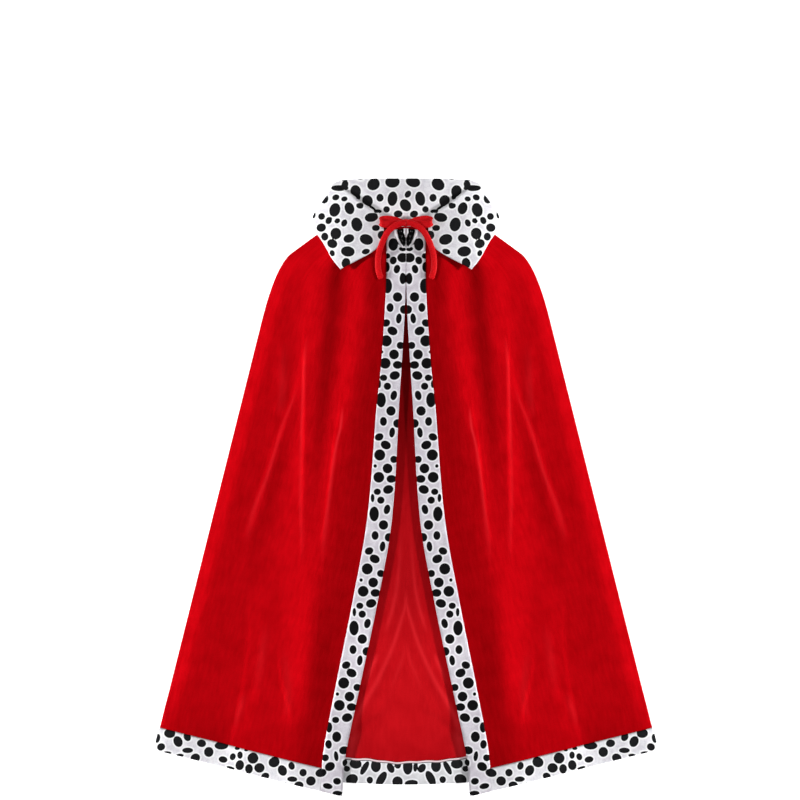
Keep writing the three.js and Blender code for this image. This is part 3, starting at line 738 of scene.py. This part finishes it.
def makePlush(name, v):
    material, tree, shader = newMaterial(name, 0.9, 0.08)
    coords = clothCoords(tree)
    pileAndPaintedLight = addNoise(tree, coords, v["pileSize"], 3, 0.65)
    ragged = addMath(tree, "MULTIPLY", addMath(tree, "SUBTRACT", pileAndPaintedLight, 0.5), v["ragged"])
    spread = tree.nodes.new("ShaderNodeMapRange")  # 4 mm inside an oval's edge to 4 mm outside it
    spread.inputs["From Min"].default_value = -4
    spread.inputs["From Max"].default_value = 4
    tree.links.new(addMath(tree, "ADD", clothValue(tree), ragged), spread.inputs["Value"])
    clouds = addSum(tree, (addNoise(tree, coords, v["clouds"], 3, 0.6), 0.6),
                    (addNoise(tree, coords, v["tufts"], 3, 0.7), 0.4))
    ground = addRamp(tree, clouds, [(v["shadeFrom"], v["shade"]), (v["shadeTo"], v["ground"])])
    farOut = addRamp(tree, spread.outputs["Result"], [(0.62, (0, 0, 0)), (0.92, (1, 1, 1))])
    printed = addRamp(tree, spread.outputs["Result"],
                      [(0.30, v["spot"]), (0.46, v["spotRim"]), (0.515, v["spotRim"]), (0.575, v["halo"])])
    tree.links.new(addMix(tree, farOut, printed, ground), shader.inputs["Base Color"])
    lumps = addBump(tree, shader, addNoise(tree, coords, v["lumps"], 2), 0.35, 0.0008)
    addBump(tree, shader, pileAndPaintedLight, 0.5, v["pileDepth"], lumps)
    return material


ribbonValues = {"low": (0.56, 0.002, 0.005), "high": (0.70, 0.005, 0.010), "weave": 1800, "slub": 400}


def makeRibbon(name, v):
    material, tree, shader = newMaterial(name, 0.5, 0.35)
    coords = clothCoords(tree)
    weave = tree.nodes.new("ShaderNodeTexWave")
    weave.inputs["Scale"].default_value = v["weave"]
    weave.inputs["Distortion"].default_value = 1.5
    tree.links.new(coords, weave.inputs["Vector"])
    slub = addNoise(tree, coords, v["slub"], 2)
    tree.links.new(addRamp(tree, slub, [(0.35, v["low"]), (0.65, v["high"])]), shader.inputs["Base Color"])
    shader.inputs["Specular Tint"].default_value = (1, 0.2, 0.2, 1)
    under = addBump(tree, shader, slub, 0.3, 0.0004)
    addBump(tree, shader, weave.outputs["Fac"], 0.3, 0.0001, under)
    return material


velvet = makeVelvet("redVelvet", velvetValues)
velvetInside = makeVelvet("redVelvetInside", insideVelvetValues)
plush = makePlush("spottedPlush", plushValues)
shadedBorderPlush = makePlush("spottedBorderPlushShaded", shadedBorderPlushValues)
shadedBackHemPlush = makePlush("spottedBackHemPlushShaded", shadedBackHemPlushValues)
ribbonRed = makeRibbon("tieRed", ribbonValues)
print("materials made")


# the tie: a flat turned-through tube, two free tails and two loops

tieValues = {
    "width": 8.8, "loopWidth": 10.4, "thickness": 3.2, "ring": 16, "tailSteps": 60, "loopSteps": 46,
    "lift": 1.0,
}
# x, y and lower side of a tail, or the lower side of a loop's cloth on its way out and back
tailRoute = [
    (0.6, 383.6, 27.4), (6, 383.2, 27.4), (13, 380.8, 27.2), (24.2, 372.8, 25.6), (31, 362.4, 23),
    (36.4, 350, 21.4), (39.8, 337.5, 15), (40.8, 326, 0), (39.6, 314.5, 0), (36, 303.6, 0),
]
loopRoute = [
    (0.4, 385.4, 18.2), (7, 386.2, 18.4), (16, 388.0, 19.6), (27, 389.4, 21.4), (34, 388.6, 22),
    (36.6, 386, 23.6), (34, 382.6, 25), (27, 381.8, 24), (16, 383, 22.2), (7, 384.2, 21.4),
    (0.4, 384.6, 21.2),
]


def frontTop(x, y):
    # highest point of a front and its border near a place
    top = 0
    for dx in (-4, 0, 4):
        for dy in (-3, 3):
            inBorder = x + dx - frontEdgeX(y + dy) < readRows(frontBorderWidth, y + dy, 1) + 1
            top = max(top, frontUnder(x + dx, y + dy) + cape["cloth"] + (plushStep if inBorder else 0))
    return top


def tieTube(name, route, isTail, nodes, mirror):
    # a tube of oval section along route; a tail's width lies across its way, a loop's up the cape
    v = tieValues
    span = v["width"] if isTail else v["loopWidth"]
    steps = len(route) - 1
    points = []
    for i in range(v["ring"] + 1):
        angle = 2 * math.pi * i / v["ring"]
        flat = math.copysign(abs(math.sin(angle)) ** 0.8, math.sin(angle))
        line = []
        for j in range(steps + 1):
            tangent = (route[min(j + 1, steps)] - route[max(j - 1, 0)]).normalized()
            wide = Vector((-tangent.y, tangent.x, 0)) if isTail else Vector((0, 1, 0))
            wide = (wide - tangent * wide.dot(tangent)).normalized()
            thick = tangent.cross(wide)
            if isTail:
                close = (0.6, 0.92, 1)[min(steps - j, 2)]
            else:
                close = 0.6 + 0.4 * easeStep(min(j, steps - j) / steps, 0, 0.24)
            line.append(route[j] + wide * (span / 2 * math.cos(angle) * close)
                        + thick * (v["thickness"] / 2 * flat * close))
        points.append(line)
    bm, uvLayer, valueLayer = newCloth()
    gridMesh(bm, points, [[farFromSpot] * (steps + 1) for _ in points], uvLayer, valueLayer)
    bmesh.ops.remove_doubles(bm, verts=bm.verts, dist=1e-6)
    bmesh.ops.holes_fill(bm, edges=bm.edges, sides=0)
    bmesh.ops.recalc_face_normals(bm, faces=bm.faces)
    return finishMesh(bm, name, ribbonRed, nodes, mirror)


def makeTails(v):
    points = []
    for x, y, z in tailRoute:
        low = max(z, frontTop(x, y) + v["lift"])
        points.append(Vector((x, y, low + v["thickness"] / 2)))
    route, length = evenRoute(points, v["tailSteps"])
    for name, mirror in sides:
        tail = tieTube("tieTail_" + name, route, True, ["tie_tail_" + name], mirror)
    return length


tailLength = makeTails(tieValues)
print("tie tails made,", round(tailLength), "mm each")


def makeLoops(v):
    up = Vector((0, 0, v["thickness"] / 2))
    route, _ = evenRoute([Vector(point) + up for point in loopRoute], v["loopSteps"])
    for name, mirror in sides:
        tieTube("tieLoop_" + name, route, False, ["tie_loop_" + name], mirror)


knotValues = {"x": 0, "y": 384.5, "z": 20.6, "width": 12, "depth": 12, "height": 12}


def makeKnot(v):
    # a wrapped knot: a rounded lump with the turns of the tie pressed into it
    bm = bmesh.new()
    uvLayer = bm.loops.layers.uv.new("cloth")
    bmesh.ops.create_uvsphere(bm, u_segments=32, v_segments=20, radius=0.5, calc_uvs=True)
    for vert in bm.verts:
        angle = math.atan2(vert.co.y, vert.co.x)
        vert.co *= 1 + 0.07 * math.cos(2 * angle + 5 * vert.co.z) - 0.05 * math.exp(-(vert.co.z / 0.12) ** 2)
    for face in bm.faces:
        for loop in face.loops:
            loop[uvLayer].uv = (loop.vert.co.x * v["width"] * mm, loop.vert.co.z * v["height"] * mm)
    bmesh.ops.scale(bm, vec=(v["width"] * mm, v["depth"] * mm, v["height"] * mm), verts=bm.verts)
    bmesh.ops.translate(bm, vec=(v["x"] * mm, v["y"] * mm, v["z"] * mm), verts=bm.verts)
    return finishMesh(bm, "tieKnot", ribbonRed, ["tie_knot"])


makeLoops(tieValues)
makeKnot(knotValues)
print("bow made")


# velvet panels

panelValues = {
    "frontColumns": 190, "frontRows": 215, "backColumns": 200, "backRows": 180, "drawnIn": 1.6,
    "frontHemWidth": 271,
}


def insideHem(place, top, width):
    # share of a panel's width that is kept inside its hem border, whose ends close over it
    return 1 - panelValues["drawnIn"] / width * easeStep(place, top + 0.5, top + 4)


def makePanels(v):
    half = cape["cloth"] / 2
    hemTop = frontLength - cape["frontHemBorder"]
    points = []
    for i in range(v["frontColumns"] + 1):
        line = []
        for j in range(v["frontRows"] + 1):
            place = frontLength * j / v["frontRows"]
            share = i / v["frontColumns"] * insideHem(place, hemTop, v["frontHemWidth"])
            line.append(frontPoint(place, 0, share, half))
        points.append(line)
    # painted highlights and painted shade on each corner of the fronts
    pileAndPaintedLight = [[frontPaintedLight(p.x, p.y) for p in line] for line in points]
    for name, mirror in sides:
        front = thickSheet("velvetFront_" + name, points, cape["cloth"], velvet, ["front_" + name],
                           pileAndPaintedLight, mirror)
    hemTop = backLength - cape["backHemBorder"]
    points = []
    for i in range(v["backColumns"] + 1):
        share = 2 * i / v["backColumns"] - 1
        share *= 0.35 + 0.65 * share ** 2  # finer in the middle, where the back shows
        line = []
        for j in range(v["backRows"] + 1):
            place = backLength * j / v["backRows"]
            line.append(backPoint(share * insideHem(place, hemTop, cape["halfHem"]), place, half))
        points.append(line)
    # painted highlights and painted shade on each corner of the back
    pileAndPaintedLight = [[backPaintedLight(p.x, p.y) for p in line] for line in points]
    back = thickSheet("velvetBack", points, cape["cloth"], velvetInside, ["back"], pileAndPaintedLight)


# plush borders, folded round the edges of the velvet

borderValues = {"leaf": 22, "turn": 6, "along": 1.6, "puff": 0.55, "tuck": 1.1, "pastSide": 0.8}


def leafSteps(v):
    # across a folded border: distance in as a share of the width, distance past the edge, side of the cloth
    leaf, turn = v["leaf"], v["turn"]
    rows = [(1 - k / leaf, 0, 1) for k in range(leaf)]
    for k in range(turn + 1):
        angle = math.pi * k / turn
        rows.append((0, math.sin(angle), math.cos(angle)))
    return rows + [((k + 1) / leaf, 0, -1) for k in range(leaf)]


borderSteps = leafSteps(borderValues)
topSteps = borderValues["leaf"]


def borderLayer(i, j):
    if i < topSteps:
        return "top"
    return "under" if i > topSteps + borderValues["turn"] else "turn"


def borderRise(share, side, v, soft=1, closed=0):
    # height over the cloth's underside: a soft swell, pulled down at the sewn edge
    # closed, from 0 to 1, brings the two leaves together
    half = cape["cloth"] / 2
    closed *= 1 - easeStep(share, 0.72, 0.9)
    out = mix(half + cape["gap"] + cape["plush"] / 2, cape["plush"] / 2 + 0.03, closed)
    swell = soft * (1 - closed) * v["puff"] * math.sin(math.pi * clamp(share, 0, 1)) ** 0.6 if side > 0 else 0
    tuck = soft * v["tuck"] * easeStep(share, 0.95, 1.0) if side > 0 else 0
    return half + side * out + swell - tuck


def neckPucker(x, y):
    # small gathers where the borders' tops are drawn in under the bow
    if y < 348 or x > 20:
        return 0
    # x and y of the top, x and y of the foot, height, half width
    ridges = ((14, 371, 3.5, 349, 2.6, 1.4), (8, 373, 2.4, 358, 1.6, 0.9), (3.6, 376, 1.6, 364, 1.4, 0.9))
    height = 0
    for x0, y0, x1, y1, high, wide in ridges:
        t = clamp((y0 - y) / (y0 - y1), 0, 1)
        crest = x0 + (x1 - x0) * t ** 1.6
        along = math.sin(math.pi * clamp((t + 0.15) / 1.15, 0, 1)) ** 0.7
        height += high * along * math.exp(-((x - crest) / wide) ** 2)
    return height - 1.2 * easeStep(y, 350, 366) * math.exp(-(x / 12) ** 2)


def makeFrontBorders(v):
    rows = round(frontLength / v["along"])
    hemTop = frontLength - cape["frontHemBorder"]
    points = []
    for share, past, side in borderSteps:
        line = []
        for j in range(rows + 1):
            place = frontLength * j / rows
            width = readRows(frontBorderWidth, cape["frontNeckY"] - place, 1) - cape["borderTurn"]
            point = frontPoint(place, width * share)
            point.z += borderRise(share, side, v, 1 - easeStep(place, hemTop - 8, hemTop))
            # at the neck the two folded edges are drawn together
            close = 0.5 * (1 - easeStep(place, 50, 85))
            point.x = max(point.x - past * (cape["borderTurn"] * 0.8 + close), cape["plush"] / 2 + 0.02)
            if side > 0:
                point.z += neckPucker(point.x, point.y)
            point.y -= cape["borderTurn"] * easeStep(place, frontLength - 30, frontLength)
            line.append(point)
        points.append(line)
    spots = SpotMap(points, borderLayer)
    for layer, shift, first in (("top", 0, -1), ("under", 60, -2)):
        for repeat in range(first, 6):
            for inward, down, halfWidth, halfLength, turn in stripChart:
                y = (stripStart - down - shift - repeat * stripRepeat) * square
                if layer == "top" and not stripFoot <= y / square <= stripTop:
                    continue
                if cape["lowestY"] <= y <= cape["frontNeckY"]:
                    x = frontEdgeX(y) + inward * square
                    spots.oval(x, y, layer, halfWidth * square, halfLength * square, turn)
    spots.chart(neckSpots, "top")
    for line, halfWidth in neckWhites:
        spots.whiten(line, halfWidth, "top")
    spots.chart(cornerSpots, "top")
    for name, mirror in sides:
        piece = thickSheet("frontBorder_" + name, points, cape["plush"], shadedBorderPlush,
                           ["front_border_" + name], spots.values, mirror)


frontHemValues = {**borderValues, "rows": 134}


def makeFrontHems(v):
    rows = v["rows"]
    band = cape["frontHemBorder"]
    lean = math.sin(math.atan2(cape["lowestY"] - cape["sideHemY"], cape["halfHem"]))
    startWidth = readRows(frontBorderWidth, cape["lowestY"], 1) - cape["borderTurn"]
    points = []
    for share, past, side in borderSteps:
        line = []
        for j in range(rows + 1):
            place = frontLength - band * share
            y = cape["frontNeckY"] - place
            start = Vector((frontEdgeX(y) + cape["borderTurn"], y))
            end = sideAt(sidePlace(place, frontLength, band))
            width = (end - start).length
            point = frontPoint(place, mix(startWidth - 0.3, width + v["pastSide"], j / rows))
            soft = easeStep(j / rows, 0, 0.06)
            tuck = easeStep(j / rows, 0, 0.004)  # keeps the sewn top edge pulled down right up to the corner
            if share > 0.9:
                soft = max(soft, tuck)
            closed = easeStep(j, rows - 1, rows)
            point.z += borderRise(share, side, v, soft, closed) - 0.05 * (1 - tuck)
            point.y -= past * cape["borderTurn"] * 0.8
            point.x += past * cape["borderTurn"] * 0.8 * lean
            line.append(point)
        points.append(line)
    spots = SpotMap(points, borderLayer)
    spots.chart(frontHemSpots, "top")
    spots.chart([(x, y + 4, a, b, -t) for x, y, a, b, t in frontHemSpots], "under")
    for name, mirror in sides:
        piece = thickSheet("frontHemBorder_" + name, points, cape["plush"], plush,
                           ["front_hem_border_" + name], spots.values, mirror)


def hemWave(x):
    # the sewn top edge of the back hem sags a little in the middle and is slightly wavy
    return 0.72 * math.sin(x / 11) + 0.48 * math.sin(x / 4.7 + 1) - 4.4 * math.exp(-(x / 66) ** 2)


backHemValues = {**borderValues, "rows": 360, "puff": 0.3}


def makeBackHem(v):
    rows = v["rows"]
    band = cape["backHemBorder"]
    points = []
    for share, past, side in borderSteps:
        line = []
        for j in range(rows + 1):
            across = 2 * j / rows - 1
            point = backPoint(across * (1 + v["pastSide"] / cape["halfHem"]), backLength - band * share)
            point.y += hemWave(point.x) * easeStep(share, 0.6, 1)
            closed = easeStep(abs(across), 1 - 2 / rows, 1)
            point.z += borderRise(share, side, v, 1, closed)
            point.y -= past * cape["borderTurn"] * 0.8
            line.append(point)
        points.append(line)
    spots = SpotMap(points, borderLayer)
    spots.chart(backHemSpots, "top")
    # runs of the repeat: layer, where it starts, which way it goes
    runs = [("top", 66, 1), ("top", 178, 1), ("top", -178, -1), ("top", -66, -1)]
    runs += [("under", repeat * stripRepeat, 1) for repeat in range(-3, 3)]
    for layer, start, way in runs:
        for inward, down, halfWidth, halfLength, turn in stripChart:
            x = start + way * down
            y = backHemAt(x * square) / square + inward + 1
            if abs(x) < 245:
                spots.chart([(x, y, halfLength, halfWidth, turn)], layer)
    piece = thickSheet("backHemBorder", points, cape["plush"], shadedBackHemPlush,
                       ["back_hem_border"], spots.values)


overlockValues = {
    "width": 3.4, "stitch": 1.9, "base": 3.0, "lift": 0.3, "thread": 0.6, "reach": 0.994, "rows": 1500,
    "columns": 5, "pale": (0.72, 0.54, 0.57), "shade": (0.07, 0.06, 0.06),
}


def makeOverlock(v):
    # thread sewn over the raw edge of the back hem, in close slanted stitches
    material, tree, shader = newMaterial("paleThread", 0.7, 0.2)
    cloth = tree.nodes.new("ShaderNodeSeparateXYZ")
    tree.links.new(clothCoords(tree), cloth.inputs["Vector"])
    across = addMath(tree, "MULTIPLY", cloth.outputs["X"], 1 / (v["width"] * mm))
    # the thread's lower edge is coloured dark: painted shadow beneath it
    color = addRamp(tree, across, [(0.34, v["shade"]), (0.46, v["pale"])])
    tree.links.new(color, shader.inputs["Base Color"])
    rows, columns = v["rows"], v["columns"]
    points = []
    for i in range(columns + 1):
        line = []
        for j in range(rows + 1):
            point = backPoint((2 * j / rows - 1) * v["reach"], backLength - cape["backHemBorder"])
            inward = i / columns - 0.5
            point.y += hemWave(point.x) + inward * v["width"] + 0.3
            stitch = math.sin(2 * math.pi * (point.x / v["stitch"] + inward))
            point.z += v["base"] + v["lift"] * (1 - (2 * inward) ** 2) + 0.15 * stitch
            line.append(point)
        points.append(line)
    thickSheet("hemOverlock", points, v["thread"], material, [])


makePanels(panelValues)
print("velvet panels made")
makeFrontBorders(borderValues)
makeFrontHems(frontHemValues)
makeBackHem(backHemValues)
makeOverlock(overlockValues)
print("plush borders made")


# the collar: doubled plush with pointed ends, turned down over its stand

collarValues = {
    "wall": 3.0, "around": 330, "across": 90, "length": 470, "depth": 128, "lip": (0.06, 0.3, 0.8),
    "inset": 1.6,
}
# share of the way round from the centre back, then x, y, z of the sewn edge, the roll, the fall and the
# free edge, then the roll's radius
collarSections = [
    (0, 0, 381.6, 8, 0, 442.4, 11.4, 0, 405, 2.6, 0, 364, 1.7, 5.6),
    (0.2, 37, 384.6, 8.4, 46, 442.2, 11.6, 52, 405, 2.6, 54, 366, 1.7, 5.6),
    (0.4, 73, 394.6, 8.8, 90, 440.2, 12, 103, 404, 3, 108, 376.5, 1.7, 5.4),
    (0.47, 88, 403, 9.8, 103, 437, 12.6, 127, 403, 6, 126, 381, 2.6, 4.2),
    (0.5, 94, 412, 11, 106, 434, 13.8, 134, 394, 10.6, 132, 375.5, 7, 3.6),
    (0.53, 93, 419, 12.4, 101, 431.5, 15, 130, 390, 13.6, 129.3, 369.5, 11, 3.2),
    (0.6, 82, 417.5, 13.2, 88, 427.5, 16.6, 112, 382, 16.6, 121, 357.5, 12.5, 3),
    (0.8, 56.5, 399, 13, 61, 407, 17.6, 80, 364, 19, 107, 332.5, 15.5, 3),
    (1, 26, 384, 12, 31, 389.5, 15.6, 36.5, 354, 17.5, 94.7, 317, 17.0, 3),
]


def collarLine(share):
    row = [readRows(collarSections, share, k) for k in range(1, 14)]
    neck, roll, fall, edge = (Vector(row[k:k + 3]) for k in (0, 3, 6, 9))
    radius = row[12]
    up = (roll - neck).normalized()
    out = fall - roll
    out = (out - up * out.dot(up)).normalized()
    inner = roll - out * radius
    return [neck, neck.lerp(inner, 0.5), inner, roll + up * radius, roll + out * radius, fall, edge]


def makeCollar(v):
    def spaced(count, length):
        # even steps with a few close ones at both ends
        inner = [mix(v["inset"], length - v["inset"], k / count) / length for k in range(count + 1)]
        ends = [0, *[lip / length for lip in v["lip"]]]
        return ends + inner + [1 - e for e in reversed(ends)]

    shares = [2 * s - 1 for s in spaced(v["around"], v["length"])]
    acrosses = spaced(v["across"], v["depth"])
    middle = []
    for share in shares:
        line = collarLine(abs(share))
        sign = -1 if share < 0 else 1
        middle.append([Vector((sign * p.x, p.y, p.z)) for p in (curveThrough(line, t) for t in acrosses)])
    columns, rows = len(middle), len(middle[0])

    def fromEdges(i, j):
        # distances to the free edges, through neighbouring corners
        best = 9
        for step in (-1, 1):
            run, k = 0, i
            while 0 <= k + step < columns and run < best:
                run += (middle[k + step][j] - middle[k][j]).length
                k += step
            if not 0 <= k + step < columns:
                best = min(best, run)
            run, k = 0, j
            while 0 <= k + step < rows and run < best:
                run += (middle[i][k + step] - middle[i][k]).length
                k += step
            if not 0 <= k + step < rows:
                best = min(best, run)
        return best

    half = v["wall"] / 2
    over, under = [], []
    for i in range(columns):
        upper, lower = [], []
        for j in range(rows):
            a = middle[min(i + 1, columns - 1)][j] - middle[max(i - 1, 0)][j]
            b = middle[i][min(j + 1, rows - 1)] - middle[i][max(j - 1, 0)]
            normal = a.cross(b).normalized()
            away = clamp(fromEdges(i, j) / half, 0, 1)
            thick = half * math.sqrt(max(1 - (1 - away) ** 2, 0))
            upper.append(middle[i][j] + normal * thick)
            lower.append(middle[i][j] - normal * thick)
        over.append(upper)
        under.append(lower)

    rollRow = min(range(rows), key=lambda j: abs(acrosses[j] - 0.5))

    def layer(i, j):
        if abs(j - rollRow) < 5:
            return "turn"
        if j < rollRow:
            return "stand" if abs(shares[i]) < 0.48 else "flank"
        return "point" if abs(shares[i]) > 0.5 else "fall"

    spots = SpotMap(middle, layer, True)
    spots.chart(collarPointSpots, "point", True)
    spots.chart(collarStandSpots, "stand")
    spots.chart(collarStandPairs, "stand", True)
    spots.tilted = False  # these two ovals run over the crease at each outer corner
    for layerName in ("point", "stand"):
        spots.chart(collarCornerSpots, layerName, True)
    for column in range(3):
        for inward, down, halfWidth, halfLength, turn in stripChart:
            x = down * 1.3 - 74
            y = 254 + column * 19 + inward * 0.9
            if abs(x) < 70 and y < 300:
                spots.chart([(x, y, halfLength, halfWidth, turn)], "fall")
    bm, uvLayer, valueLayer = newCloth()
    gridMesh(bm, over, spots.values, uvLayer, valueLayer)
    gridMesh(bm, under, spots.values, uvLayer, valueLayer)
    bmesh.ops.remove_doubles(bm, verts=bm.verts, dist=2e-6)
    bmesh.ops.recalc_face_normals(bm, faces=bm.faces)
    collar = finishMesh(bm, "turnDownCollar", plush, ["collar"])


makeCollar(collarValues)
print("collar made")


# surface and light

lightValues = {
    "world": 0.38, "floorGlow": 0.6, "side": 3.7, "height": 0.28, "length": 2.2, "away": 650, "rise": 24,
    "aimX": 320, "aimY": 128, "spread": 10,
    "foot": 0.034, "footSize": (0.13, 0.15), "footRise": 50, "footY": -285, "footAway": 1000, "footSpread": 6,
}


def makeStage():
    bm = bmesh.new()
    bmesh.ops.create_grid(bm, x_segments=2, y_segments=2, size=4)
    bmesh.ops.translate(bm, vec=(0, 0, -0.0002), verts=bm.verts)
    mesh = bpy.data.meshes.new("stage")
    bm.to_mesh(mesh)
    bm.free()
    floor = bpy.data.objects.new("stage", mesh)
    scene.collection.objects.link(floor)
    material, tree, shader = newMaterial("paleFloor", 0.9, 0.1)
    shader.inputs["Base Color"].default_value = (0.93, 0.93, 0.93, 1)
    shader.inputs["Emission Color"].default_value = (1, 1, 1, 1)  # a lit white table, so no shadow shows
    shader.inputs["Emission Strength"].default_value = lightValues["floorGlow"]
    mesh.materials.append(material)


def addArea(name, energy, size, place, aim, spread=180):
    data = bpy.data.lights.new(name, "AREA")
    data.energy = energy
    data.shape = "RECTANGLE"
    data.size, data.size_y = size
    data.spread = math.radians(spread)
    lamp = bpy.data.objects.new(name, data)
    lamp.location = Vector(place) * mm
    lamp.rotation_euler = (Vector(aim) - Vector(place)).to_track_quat("-Z", "Y").to_euler()
    scene.collection.objects.link(lamp)


def makeLights(v):
    world = bpy.data.worlds.new("studio")
    world.use_nodes = True
    world.node_tree.nodes["Background"].inputs["Color"].default_value = (1, 1, 1, 1)
    world.node_tree.nodes["Background"].inputs["Strength"].default_value = v["world"]
    scene.world = world
    rise = math.radians(v["rise"])
    for name, sign in (("leftSoftbox", -1), ("rightSoftbox", 1)):
        # low strip from each side; its beam ends near the middle of the cape
        aim = Vector((sign * v["aimX"], v["aimY"], 0))
        place = aim + Vector((sign * math.cos(rise), 0, math.sin(rise))) * v["away"]
        addArea(name, v["side"], (v["length"], v["height"]), place, aim, v["spread"])
    # small lamp from the foot end, for the inside of the back
    rise = math.radians(v["footRise"])
    aim = Vector((0, v["footY"], 0))
    place = aim + Vector((0, -math.cos(rise), math.sin(rise))) * v["footAway"]
    addArea("footSoftbox", v["foot"], v["footSize"], place, aim, v["footSpread"])


makeStage()
makeLights(lightValues)
scene.view_settings.view_transform = "Standard"
print("stage and lights made")
